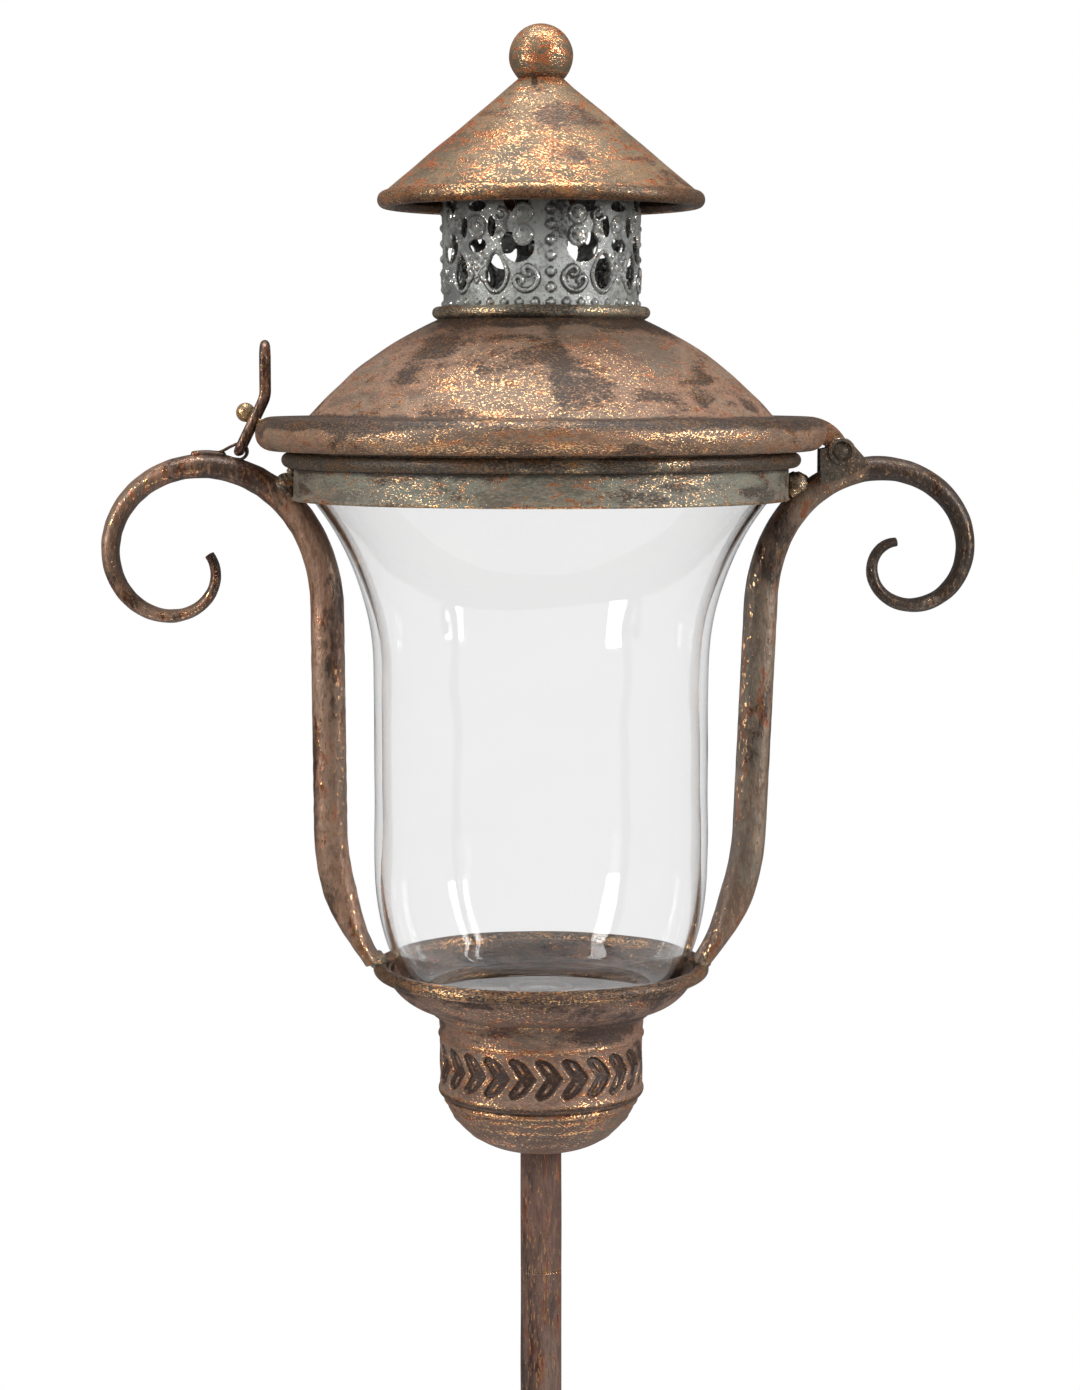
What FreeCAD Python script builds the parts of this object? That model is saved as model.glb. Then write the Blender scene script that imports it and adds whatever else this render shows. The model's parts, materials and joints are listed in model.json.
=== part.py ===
import FreeCAD, Part
import math
import os

# Candle lantern on a garden stake: a hurricane glass stands in a pressed dish between two scrolled
# arms, under a hinged lid with a pierced chimney, on a plug-together pole with a ground spike.
# Millimetres. +Z is up and the origin is on the pole's axis at ground level. The lid's hinge is on
# the +X side, its latch on the -X side, and the front faces -Y.

V = FreeCAD.Vector
UP = V(0, 0, 1)
ORIGIN = V(0, 0, 0)

# --- driving dimensions: stake -------------------------------------------------------------------
POLE_R = 6.0
POLE_WALL = 1.2
POLE_SECTION = 300.0
STUB_SHOWN = 36.4
SPIKE_R = 5.0
SPIKE_LENGTH = 190.0
SPIKE_POINT = 28.0
SPIGOT_REACH = 22.0
FIT_GAP = 0.05
INSERT_LENGTH = 14.0

# --- driving dimensions: lantern head, heights above the foot of the cup ---------------------------
CUP_R = 29.6
CUP_TOP = 42.2
CUP_TOP_R = 33.0
CUP_WALL = 1.2
BAND_LOW, BAND_HIGH = 19.4, 32.9

SHEET = 1.0
DISH_FLOOR = CUP_TOP + SHEET
DISH_FLOOR_R = 33.5
DISH_RIM_R = 44.6
DISH_RIM = 53.4
RING_WIRE_R = 2.0
RING_R = DISH_RIM_R + RING_WIRE_R + 0.1
RING_LEVEL = 53.2
DISH_SCREW_R = 2.5
DISH_HOLE_R = 3.3
WASHER_R = 7.0
WASHER_THICKNESS = 0.9

GLASS_R = 48.1
GLASS_WALL = 2.2
GLASS_FLOOR = 5.0
GLASS_FOOT = DISH_FLOOR + 0.1
GLASS_HEEL_R = 12.0
GLASS_BELLY_ARC = 66.0
GLASS_BELLY = 82.0
GLASS_FLARE = 139.6
GLASS_FLARE_ARC = 79.5
GLASS_TOP = 192.9

COLLAR_R = 70.7
COLLAR_FOOT = 189.0
COLLAR_BEAD = 200.4
COLLAR_BEAD_R = 2.15
COLLAR_BEAD_RING = 71.9

BRIM_R = 76.6
BRIM_ROLL = 4.8
BRIM_LEVEL = 207.85
BRIM_RETURN_R = 69.8
DOME_EDGE_R = 66.2
DOME_MID = (50.9, 227.5)
DOME_TOP_R = 28.15
DOME_TOP = 240.7

CHIMNEY_R = 28.0
CHIMNEY_WALL = 0.8
CHIMNEY_FOOT = 238.0
CHIMNEY_TOP = 288.0
CHIMNEY_REPEATS = 4
CHIMNEY_TURN = 3.0
BASE_RING_WIRE_R = 1.55
BASE_RING_LEVEL = 242.3

ROOF_SHEET = 0.8
ROOF_TOP_R = 5.6
ROOF_TOP = 308.4
ROOF_ROLL = 2.4
ROOF_RIM_R = 44.2
ROOF_RIM = 273.8
BALL_R = 9.05
BALL_LEVEL = 314.0

# --- driving dimensions: arms, hinge and latch ------------------------------------------------------
ARM_BAR = 9.7
ARM_END_THICKNESS = 5.0
ARM_END_WIDTH = 13.0
ARM_END_RUN = 25.0
ARM_TIP_THICKNESS = 2.6
# Each arm's centre line, both drawn on the +X side. From the ring it bends upright, runs straight,
# turns outwards over a shoulder and winds into a scroll whose radius shrinks with every quarter turn.
ARM_BEND_R = 70.0
ARM_SHOULDER_R, ARM_SHOULDER_TURN = 50.0, 20.0
SCROLL_STEP = 12.5
LEFT_ARM = dict(start=(48.9, 55.3), heading=56.0, bend=33.5, straight=64.0, full_end=106.0,
                scroll_r=40.0, shrink=0.70, turn=375.0)
RIGHT_ARM = dict(start=(46.2, 54.7), heading=53.0, bend=34.5, straight=66.0, full_end=108.0,
                 scroll_r=38.0, shrink=0.68, turn=425.0)

HINGE_X = 85.4
HINGE_LEVEL = 202.8
HINGE_PIN_R = 1.5
HINGE_RUN_GAP = 0.06
EYE_R = 2.9
EYE_SPACE = 0.7
STRAP_HALF_WIDTH = 2.6
KNUCKLE_R = 3.9
KNUCKLE_MOUTH_R = 2.8
KNUCKLE_IN, KNUCKLE_OUT = 3.0, 6.4

LATCH_X = -86.3
LATCH_LEVEL = 202.7
BAIL_WIRE_R = 1.3
BAIL_HALF_GAP = 4.3
BAIL_BEND = (-78.7, 218.3)
BAIL_BEND_ARC = 8.0
BAIL_CORNER = 1.9
BAIL_TOP = 234.4
STUD_BALL_R = 2.7
STUD_REACH = 9.8
STUD_RISE = 37.6
EYE_GAP = 0.1
EYE_WALL = 1.1
EYE_SLOT = 2.6

CUP_FOOT = 2 * POLE_SECTION + STUB_SHOWN


def up(height):
    """Height above the ground of a height above the foot of the cup."""
    return CUP_FOOT + height


def at(radius, height):
    """A point of the head's half section."""
    return V(radius, 0, up(height))


def polyline(points):
    return [Part.LineSegment(a, b).toShape() for a, b in zip(points, points[1:])]


def arc(a, middle, b):
    return Part.Arc(a, middle, b).toShape()


def spun(edges):
    """Solid of revolution about the pole's axis of a closed half section."""
    face = Part.Face(Part.Wire(Part.__sortEdges__(edges)))
    solid = face.revolve(ORIGIN, UP, 360)
    return Part.Solid(solid) if solid.ShapeType == "Shell" else solid


def ring(inner, outer, low, high):
    """Plain tube about the pole's axis, between two heights above the ground."""
    tube = Part.makeCylinder(outer, high - low, V(0, 0, low))
    return tube.cut(Part.makeCylinder(inner, high - low, V(0, 0, low))) if inner else tube


def torus(ring_radius, wire_radius, height):
    return Part.makeTorus(ring_radius, wire_radius, V(0, 0, up(height)), UP)


def along_y(radius, x, height, y0, y1):
    """Cylinder parallel to Y."""
    return Part.makeCylinder(radius, y1 - y0, V(x, y0, up(height)), V(0, 1, 0))


def prism_y(edges, half_width):
    """Flat outline in the XZ plane, extruded to both sides of it."""
    face = Part.Face(Part.Wire(Part.__sortEdges__(edges)))
    face.translate(V(0, -half_width, 0))
    return face.extrude(V(0, 2 * half_width, 0))


def closed(points):
    return polyline(points + points[:1])


# --- stake ------------------------------------------------------------------------------------------
def pole_tube(low, high):
    return ring(POLE_R - POLE_WALL, POLE_R, low, high)


def spigot(level):
    """Plug that joins two lengths of pole inside, centred on their joint."""
    return ring(0, POLE_R - POLE_WALL - FIT_GAP, level - SPIGOT_REACH, level + SPIGOT_REACH)


def ground_spike():
    """Solid round bar with a tapered point, its tang inside the foot of the pole."""
    tang = ring(0, POLE_R - POLE_WALL - FIT_GAP, 0, SPIGOT_REACH - 1)
    bar = ring(0, SPIKE_R, SPIKE_POINT - SPIKE_LENGTH, 0)
    tip = Part.makeCone(0.6, SPIKE_R, SPIKE_POINT, V(0, 0, -SPIKE_LENGTH))
    return tang.fuse([bar, tip]).removeSplitter()


def stub_insert():
    """Threaded plug in the top of the stub that takes the dish screw."""
    top = up(CUP_TOP) - FIT_GAP
    return ring(DISH_SCREW_R + FIT_GAP, POLE_R - POLE_WALL - FIT_GAP, top - INSERT_LENGTH, top)


# --- cup, dish and ring -------------------------------------------------------------------------------
def cup():
    """Spun cup under the dish: a flared neck, a band between two ridges, and a stepped bowl."""
    hole = POLE_R + FIT_GAP
    outer = [
        at(CUP_TOP_R, CUP_TOP), at(30.6, 40.1), at(CUP_R, 37.1), at(CUP_R, 35.4),
        at(CUP_R + 0.4, 34.1), at(CUP_R - 0.1, BAND_HIGH), at(CUP_R - 0.1, BAND_LOW),
        at(CUP_R + 0.4, 17.6), at(28.9, 15.8), at(27.3, 15.0), at(26.9, 13.3), at(26.3, 11.3),
    ]
    bowl = arc(outer[-1], at(19.3, 4.6), at(hole, 0))
    inner_bowl = arc(at(24.9, 11.7), at(18.6, 5.9), at(hole, CUP_WALL))
    inner = [
        at(24.9, 11.7), at(25.8, 15.9), at(27.7, 17.4), at(28.2, BAND_LOW), at(28.2, BAND_HIGH),
        at(28.3, 37.1), at(29.4, 40.1), at(CUP_TOP_R - CUP_WALL, CUP_TOP),
    ]
    ends = polyline([outer[0], inner[-1]]) + polyline([at(hole, 0), at(hole, CUP_WALL)])
    return spun(polyline(outer) + [bowl, inner_bowl] + polyline(inner) + ends)


def dish():
    """Pressed dish: a flat floor, a sloping wall and a short upright rim inside the ring."""
    top = [at(DISH_HOLE_R, DISH_FLOOR), at(DISH_FLOOR_R, DISH_FLOOR)]
    inside_r = DISH_RIM_R - SHEET
    rim = [
        at(inside_r, DISH_RIM - 1.8), at(inside_r, DISH_RIM),
        at(DISH_RIM_R, DISH_RIM), at(DISH_RIM_R, DISH_RIM - 2.2),
    ]
    under = [at(DISH_FLOOR_R + 0.5, CUP_TOP), at(DISH_HOLE_R, CUP_TOP)]
    wall_in = arc(top[-1], at(40.0, 46.6), rim[0])
    wall_out = arc(rim[-1], at(40.8, 45.9), under[0])
    flats = polyline(top) + polyline(rim) + polyline(under) + polyline([under[-1], top[0]])
    return spun(flats + [wall_in, wall_out])


def dish_washer():
    return ring(DISH_SCREW_R + 0.55, WASHER_R, up(DISH_FLOOR), up(DISH_FLOOR) + WASHER_THICKNESS)


def dish_screw():
    """Cap screw through the washer and dish into the stub's insert. It lies under the glass's foot."""
    head_r, head_height = 5.0, 1.6
    head_low = up(DISH_FLOOR) + WASHER_THICKNESS
    shank = ring(0, DISH_SCREW_R, up(CUP_TOP) - INSERT_LENGTH + 2, head_low)
    head = ring(0, head_r, head_low, head_low + head_height)
    slot_low = head_low + head_height / 2
    slot = Part.makeBox(2 * head_r + 1, 1.2, head_height, V(-head_r - 0.5, -0.6, slot_low))
    return shank.fuse(head).cut(slot)


# --- glass --------------------------------------------------------------------------------------------
def arc_about(centre, radius, start, stop):
    """Arc in the XZ plane between two angles, in degrees from +X towards +Z."""
    points = [centre + V(radius * math.cos(math.radians(a)), 0, radius * math.sin(math.radians(a)))
              for a in (start, (start + stop) / 2, stop)]
    return arc(*points), points[0], points[2]


def glass_shade():
    """Blown glass with a rounded foot, a straight body and a flared mouth, hollowed to a thick floor."""
    def body(wall, foot):
        belly_centre = at(GLASS_R - GLASS_BELLY_ARC, GLASS_BELLY)
        flare_centre = at(GLASS_R + GLASS_FLARE_ARC, GLASS_FLARE)
        radius = GLASS_BELLY_ARC - wall
        heel = GLASS_HEEL_R - wall
        heel_drop = GLASS_BELLY - foot - heel
        heel_centre = belly_centre + V(math.sqrt((radius - heel) ** 2 - heel_drop ** 2), 0, -heel_drop)
        drop = math.degrees(math.asin(-heel_drop / (radius - heel)))
        belly, belly_top, belly_low = arc_about(belly_centre, radius, 0, drop)
        heel_arc, heel_top, foot_edge = arc_about(heel_centre, heel, drop, -90)
        rise = math.degrees(math.asin((GLASS_TOP - GLASS_FLARE) / (GLASS_FLARE_ARC + wall)))
        flare, flare_low, flare_top = arc_about(flare_centre, GLASS_FLARE_ARC + wall, 180, 180 - rise)
        edges = [belly, flare, heel_arc] + polyline([belly_top, flare_low])
        edges += polyline([foot_edge, at(0, foot), V(0, 0, flare_top.z), flare_top])
        return spun(edges)

    outer = body(0, GLASS_FOOT)
    inner = body(GLASS_WALL, GLASS_FOOT + GLASS_FLOOR)
    recess = Part.makeCone(8.5, 7.5, 2.9, V(0, 0, up(GLASS_FOOT) - 0.01))
    return outer.cut([inner, recess])


# --- collar and lid ------------------------------------------------------------------------------------
def rolled_edge(ring_radius, roll, sheet, height):
    """Sheet edge rolled round a wire: a tube bent into a ring."""
    return torus(ring_radius, roll, height).cut(torus(ring_radius, roll - sheet, height))


def collar_band():
    band = ring(COLLAR_R - SHEET, COLLAR_R, up(COLLAR_FOOT), up(COLLAR_BEAD))
    roll = rolled_edge(COLLAR_BEAD_RING, COLLAR_BEAD_R, 0.85, COLLAR_BEAD)
    return band.cut(torus(COLLAR_BEAD_RING, COLLAR_BEAD_R - 0.85, COLLAR_BEAD)).fuse(roll).removeSplitter()


def lid_dome():
    """One spun sheet: the dome, a flat shelf, a half-round brim and its return above the collar."""
    def skin(inset):
        shelf = BRIM_LEVEL + BRIM_ROLL - inset
        under = BRIM_LEVEL - BRIM_ROLL + inset
        nudge = 0.7 * inset
        dome = arc(at(DOME_TOP_R, DOME_TOP - inset * 1.1), at(DOME_MID[0] - nudge, DOME_MID[1] - nudge),
                   at(DOME_EDGE_R - inset, shelf))
        brim = arc(at(BRIM_R, shelf), at(BRIM_R + BRIM_ROLL - inset, BRIM_LEVEL), at(BRIM_R, under))
        flats = polyline([at(DOME_EDGE_R - inset, shelf), at(BRIM_R, shelf)])
        flats += polyline([at(BRIM_R, under), at(BRIM_RETURN_R, under)])
        return [dome, brim] + flats, at(DOME_TOP_R, DOME_TOP - inset * 1.1), at(BRIM_RETURN_R, under)

    outer, outer_top, outer_end = skin(0)
    inner, inner_top, inner_end = skin(SHEET)
    return spun(outer + inner + polyline([outer_top, inner_top]) + polyline([outer_end, inner_end]))


def chimney_openings():
    """Pierced openings of the chimney: (degrees from a strap, height, half width, half height)."""
    one_side = [
        (19, 272.8, 3.2, 3.0), (35, 267.4, 1.1, 2.5), (18, 260.8, 3.0, 2.5),
        (41, 262.0, 1.0, 1.1), (34, 253.9, 2.7, 4.0),
    ]
    pattern = one_side + [(-a, h, w, t) for a, h, w, t in one_side] + [(45, 273.1, 2.4, 1.5)]
    cutters = []
    for repeat in range(CHIMNEY_REPEATS):
        for angle, height, half_width, half_height in pattern:
            tall = half_height > half_width
            major, minor = max(half_width, half_height), min(half_width, half_height)
            long_axis = UP if tall else V(0, 1, 0)
            short_axis = V(0, 1, 0) if tall else UP
            centre = at(CHIMNEY_R - 4, height)
            ellipse = Part.Ellipse(centre + long_axis * major, centre + short_axis * minor, centre)
            hole = Part.Face(Part.Wire(ellipse.toShape())).extrude(V(8, 0, 0))
            turn = -90 + CHIMNEY_TURN + angle + repeat * 360 / CHIMNEY_REPEATS
            hole.rotate(ORIGIN, UP, turn)
            cutters.append(hole)
    return cutters


def chimney_band():
    """Pierced strip rolled into a tube, from inside the dome's neck up to the roof's underside."""
    strip = ring(CHIMNEY_R - CHIMNEY_WALL, CHIMNEY_R, up(CHIMNEY_FOOT), up(CHIMNEY_TOP))
    return strip.cut(chimney_openings())


def chimney_base_ring():
    return torus(CHIMNEY_R + BASE_RING_WIRE_R + FIT_GAP, BASE_RING_WIRE_R, BASE_RING_LEVEL)


def roof_cone():
    """Spun cone with its edge rolled under round a wire."""
    slope = math.atan2(ROOF_TOP - ROOF_RIM - ROOF_ROLL, ROOF_RIM_R - ROOF_TOP_R)
    across = ROOF_SHEET / math.cos(slope)
    foot = at(ROOF_RIM_R + 0.6, ROOF_RIM + ROOF_ROLL - 0.3)
    section = closed([at(ROOF_TOP_R - 3, ROOF_TOP), at(ROOF_TOP_R, ROOF_TOP), foot, foot - V(0, 0, across),
                      at(ROOF_TOP_R - 0.4, ROOF_TOP - across), at(ROOF_TOP_R - 3, ROOF_TOP - across)])
    hollow = torus(ROOF_RIM_R, ROOF_ROLL - ROOF_SHEET, ROOF_RIM)
    roll = rolled_edge(ROOF_RIM_R, ROOF_ROLL, ROOF_SHEET, ROOF_RIM)
    return spun(section).cut(hollow).fuse(roll).removeSplitter()


def finial_ball():
    """Knob with a short flared neck that sits on the roof's top."""
    ball = Part.makeSphere(BALL_R, V(0, 0, up(BALL_LEVEL)))
    neck = Part.makeCone(ROOF_TOP_R, ROOF_TOP_R + 1.2, BALL_LEVEL - ROOF_TOP - 3, V(0, 0, up(ROOF_TOP)))
    below = Part.makeBox(40, 40, 20, V(-20, -20, up(ROOF_TOP) - 20))
    bore = Part.makeCylinder(2 + FIT_GAP, 9, V(0, 0, up(ROOF_TOP) - 1))
    return ball.fuse(neck).cut([below, bore])


def finial_screw():
    """Screw from inside the roof into the knob."""
    seat = up(ROOF_TOP) - 1.1
    shank = ring(0, 2.0, seat, up(ROOF_TOP) + 7)
    return shank.fuse(ring(0, 4.0, seat - 2.0, seat))


# --- arms ---------------------------------------------------------------------------------------------
def arm_run(arm):
    """An arm's run of straights (length, 0) and arcs (radius, degrees), positive towards the glass."""
    run = [(ARM_BEND_R, arm["bend"]), (arm["straight"], 0), (ARM_SHOULDER_R, -ARM_SHOULDER_TURN)]
    steps = round(arm["turn"] / SCROLL_STEP)
    for step in range(steps):
        quarter_turns = (step + 0.5) * SCROLL_STEP / 90
        run.append((arm["scroll_r"] * arm["shrink"] ** quarter_turns, -SCROLL_STEP))
    return run


def arm_stations(arm):
    """Points of an arm's centre line: (distance along it, x, height, heading in degrees)."""
    x, height = arm["start"]
    heading = arm["heading"]
    gone = 0.0
    stations = [(gone, x, height, heading)]
    for size, turn in arm_run(arm):
        if turn == 0:
            pieces = max(2, round(size / 9))
            for _ in range(pieces):
                gone += size / pieces
                x += size / pieces * math.cos(math.radians(heading))
                height += size / pieces * math.sin(math.radians(heading))
                stations.append((gone, x, height, heading))
            continue
        pieces = max(1, round(abs(turn) / 11))
        side = math.copysign(90, turn)
        centre_x = x + size * math.cos(math.radians(heading + side))
        centre_height = height + size * math.sin(math.radians(heading + side))
        for _ in range(pieces):
            heading += turn / pieces
            gone += size * math.radians(abs(turn)) / pieces
            x = centre_x - size * math.cos(math.radians(heading + side))
            height = centre_height - size * math.sin(math.radians(heading + side))
            stations.append((gone, x, height, heading))
    return stations


def arm_section(gone, full_end, total):
    """(thickness, width) of the bar: round in the middle, flattened at the ring and in the scroll."""
    low = min(1.0, gone / ARM_END_RUN)
    low = low * low * (3 - 2 * low)
    high = max(0.0, (gone - full_end) / (total - full_end))
    thickness = ARM_BAR - (ARM_BAR - ARM_END_THICKNESS) * (1 - low) - (ARM_BAR - ARM_TIP_THICKNESS) * high
    width = ARM_BAR + (ARM_END_WIDTH - ARM_BAR) * (1 - low) + 10 * high - 11 * high * high
    return thickness, max(width, thickness + 0.002)


def arm_bar(arm):
    """One forged bar on the +X side, before it is trimmed to the ring and collar."""
    stations = arm_stations(arm)
    total = stations[-1][0]
    sections = []
    for gone, x, height, heading in stations:
        thickness, width = arm_section(gone, arm["full_end"], total)
        centre = at(x, height)
        normal = V(-math.sin(math.radians(heading)), 0, math.cos(math.radians(heading)))
        ellipse = Part.Ellipse(centre + V(0, width / 2, 0), centre + normal * (thickness / 2), centre)
        sections.append(Part.Wire(ellipse.toShape()))
    return Part.makeLoft(sections, True, False)


def trimmed_arm(bar):
    """The arm cut back to the ring it is welded to, to the collar and under the lid's hinge eye."""
    eye_space = along_y(EYE_R + EYE_SPACE, HINGE_X, HINGE_LEVEL, -KNUCKLE_IN, KNUCKLE_IN)
    collar_space = ring(0, COLLAR_R + 0.02, up(COLLAR_FOOT) - 0.02, up(COLLAR_BEAD))
    ring_space = torus(RING_R, RING_WIRE_R, RING_LEVEL)
    dish_space = ring(0, DISH_RIM_R + 0.1, up(40), up(60))
    return bar.cut([collar_space, ring_space, dish_space, eye_space])


def collar_tie(arm):
    """Short weld stud between the arm and the collar, on the +X side."""
    stud = Part.makeCylinder(1.7, 9, V(COLLAR_R - 0.6, 0, up(COLLAR_FOOT + 3.0)), V(1, 0, 0))
    space = ring(0, COLLAR_R, up(COLLAR_FOOT), up(COLLAR_BEAD))
    kept = stud.cut([arm, space])
    return min(kept.Solids, key=lambda s: s.CenterOfMass.x)


def mirrored(shape):
    return shape.mirror(ORIGIN, V(1, 0, 0))


# --- hinge --------------------------------------------------------------------------------------------
def hinge_point(x, height):
    """A point of the XZ plane measured from the hinge's axis."""
    return at(HINGE_X + x, HINGE_LEVEL + height)


def knuckle(side):
    """Knuckle and its half of the web, on one side of the lid's lug, with a mouth for the pin's head."""
    y0, y1 = sorted((side * KNUCKLE_IN, side * KNUCKLE_OUT))
    round_part = along_y(KNUCKLE_R, HINGE_X, HINGE_LEVEL, y0, y1)
    outline = [
        hinge_point(-5.9, 0.6), hinge_point(3.0, 2.4), hinge_point(6.2, -1.3),
        hinge_point(8.0, -5.0), hinge_point(6.0, -9.0), hinge_point(-5.9, -11.0),
    ]
    web = prism_y(closed(outline), (y1 - y0) / 2)
    web.translate(V(0, (y0 + y1) / 2, 0))
    mouth_y0, mouth_y1 = sorted((side * (KNUCKLE_OUT - 1.0), side * (KNUCKLE_OUT + 0.1)))
    mouth = along_y(KNUCKLE_MOUTH_R, HINGE_X, HINGE_LEVEL, mouth_y0, mouth_y1)
    return round_part.fuse(web).cut(mouth)


def hinge_bracket(arm):
    """Two knuckles on one web, welded to the top of the arm."""
    outline = [
        hinge_point(-5.9, -4.2), hinge_point(7.0, -4.2), hinge_point(6.0, -9.0), hinge_point(-5.9, -11.0),
    ]
    bridge = prism_y(closed(outline), KNUCKLE_IN + 0.5)
    bore = along_y(HINGE_PIN_R + HINGE_RUN_GAP, HINGE_X, HINGE_LEVEL, -10, 10)
    collar_space = ring(0, COLLAR_R + 0.5, up(COLLAR_FOOT - 20), up(COLLAR_BEAD + 20))
    return knuckle(-1).fuse([knuckle(1), bridge]).cut([bore, arm, collar_space]).removeSplitter()


def hinge_pin():
    """Loose pin with a domed head at each end, inside the knuckles' mouths."""
    pin = along_y(HINGE_PIN_R, HINGE_X, HINGE_LEVEL, -KNUCKLE_OUT + 0.4, KNUCKLE_OUT - 0.4)
    head = KNUCKLE_MOUTH_R - 0.5
    for side in (-1, 1):
        y0, y1 = sorted((side * (KNUCKLE_OUT - 0.9), side * (KNUCKLE_OUT + 0.1)))
        pin = pin.fuse(along_y(head, HINGE_X, HINGE_LEVEL, y0, y1))
    return pin.removeSplitter()


def hinge_strap():
    """Lid's hinge lug: welded to the brim's shoulder, it curves down to an eye round the pin."""
    crown = at(BRIM_R + 0.4, BRIM_LEVEL + BRIM_ROLL - 0.02)
    bow = at(BRIM_R + 6.7, BRIM_LEVEL + 2.3)
    shoulder = hinge_point(1.9, 2.3)
    back = [shoulder, hinge_point(0, 0), hinge_point(-EYE_R, 0.6), at(BRIM_R, BRIM_LEVEL), crown]
    lug = prism_y([arc(crown, bow, shoulder)] + polyline(back), STRAP_HALF_WIDTH)
    eye = along_y(EYE_R, HINGE_X, HINGE_LEVEL, -STRAP_HALF_WIDTH, STRAP_HALF_WIDTH)
    brim_space = Part.makeTorus(BRIM_R, BRIM_ROLL + 0.02, V(0, 0, up(BRIM_LEVEL)), UP)
    bore = along_y(HINGE_PIN_R + HINGE_RUN_GAP, HINGE_X, HINGE_LEVEL, -10, 10)
    return lug.fuse(eye).cut([brim_space, bore]).removeSplitter()


# --- latch --------------------------------------------------------------------------------------------
def latch_stud():
    """Ball-headed stud that stands out of the brim's shoulder, with a neck that widens to the ball."""
    rise = math.radians(STUD_RISE)
    outward = V(-math.cos(rise), 0, math.sin(rise))
    centre = at(-BRIM_R, BRIM_LEVEL)
    ball = Part.makeSphere(STUD_BALL_R, centre + outward * STUD_REACH)
    neck_foot = centre + outward * (BRIM_ROLL - 0.6)
    neck = Part.makeCone(1.0, 2.1, STUD_REACH - BRIM_ROLL - 0.8, neck_foot, outward)
    brim_space = Part.makeTorus(BRIM_R, BRIM_ROLL + 0.01, V(0, 0, up(BRIM_LEVEL)), UP)
    return ball.fuse(neck).cut(brim_space)


def latch_bail():
    """Bent wire loop: a cross bar in the bracket's eye, two legs either side of the stud, and a grip."""
    foot = at(LATCH_X, LATCH_LEVEL)
    bend = at(*BAIL_BEND)
    lean = bend - foot
    lean.normalize()
    turn = math.acos(lean.dot(UP))
    cut_back = BAIL_BEND_ARC * math.tan(turn / 2)
    side = V(0, -BAIL_HALF_GAP, 0)
    out_y = V(0, -1, 0)
    corner_in = foot + out_y * (BAIL_HALF_GAP - BAIL_CORNER)
    corner_out = foot + side + lean * BAIL_CORNER
    corner_mid = foot + side + (V(0, 1, 0) + lean) * (BAIL_CORNER * (1 - math.sqrt(0.5)))
    bend_in = bend + side - lean * cut_back
    bend_out = bend + side + UP * cut_back
    inside = bend + side - V(BAIL_BEND_ARC, 0, 0) + UP * cut_back
    toward = (bend + side - inside)
    toward.normalize()
    bend_mid = inside + toward * BAIL_BEND_ARC
    shoulder = V(bend.x, -BAIL_HALF_GAP, up(BAIL_TOP) - BAIL_WIRE_R - BAIL_HALF_GAP)
    crown = shoulder + V(0, BAIL_HALF_GAP, BAIL_HALF_GAP)
    half = math.sqrt(0.5) * BAIL_HALF_GAP
    crown_mid = shoulder + V(0, BAIL_HALF_GAP - half, half)
    route = polyline([foot, corner_in]) + [arc(corner_in, corner_mid, corner_out)]
    route += polyline([corner_out, bend_in]) + [arc(bend_in, bend_mid, bend_out)]
    route += polyline([bend_out, shoulder]) + [arc(shoulder, crown_mid, crown)]
    start = Part.Wire(Part.Circle(foot, out_y, BAIL_WIRE_R).toShape())
    leg = Part.Wire(route).makePipeShell([start], True, True)
    other = leg.mirror(ORIGIN, V(0, 1, 0))
    return leg.fuse(other).removeSplitter()


def latch_bracket(arm):
    """Strap along the top of the left arm that ends in a long eye for the bail's cross bar."""
    pivot = at(LATCH_X, LATCH_LEVEL)
    inner = BAIL_WIRE_R + EYE_GAP
    outer = inner + EYE_WALL
    half = BAIL_HALF_GAP - BAIL_WIRE_R - 0.6

    def slot(radius, half_width):
        places = (LATCH_X - EYE_SLOT, LATCH_X)
        ends = [along_y(radius, x, LATCH_LEVEL, -half_width, half_width) for x in places]
        middle = Part.makeBox(EYE_SLOT, 2 * half_width, 2 * radius, pivot - V(EYE_SLOT, half_width, radius))
        return ends[0].fuse([ends[1], middle])

    outline = [
        pivot + V(-15.5, 0, -0.2), pivot + V(-8.5, 0, -0.3), pivot + V(-4.6, 0, 0.2),
        pivot + V(1.5, 0, -outer), pivot + V(1.5, 0, -outer - 2), pivot + V(-15.5, 0, -4),
    ]
    tail = prism_y(closed(outline), half)
    return slot(outer, half).fuse(tail).cut([slot(inner, half + 1), arm]).removeSplitter()


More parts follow.
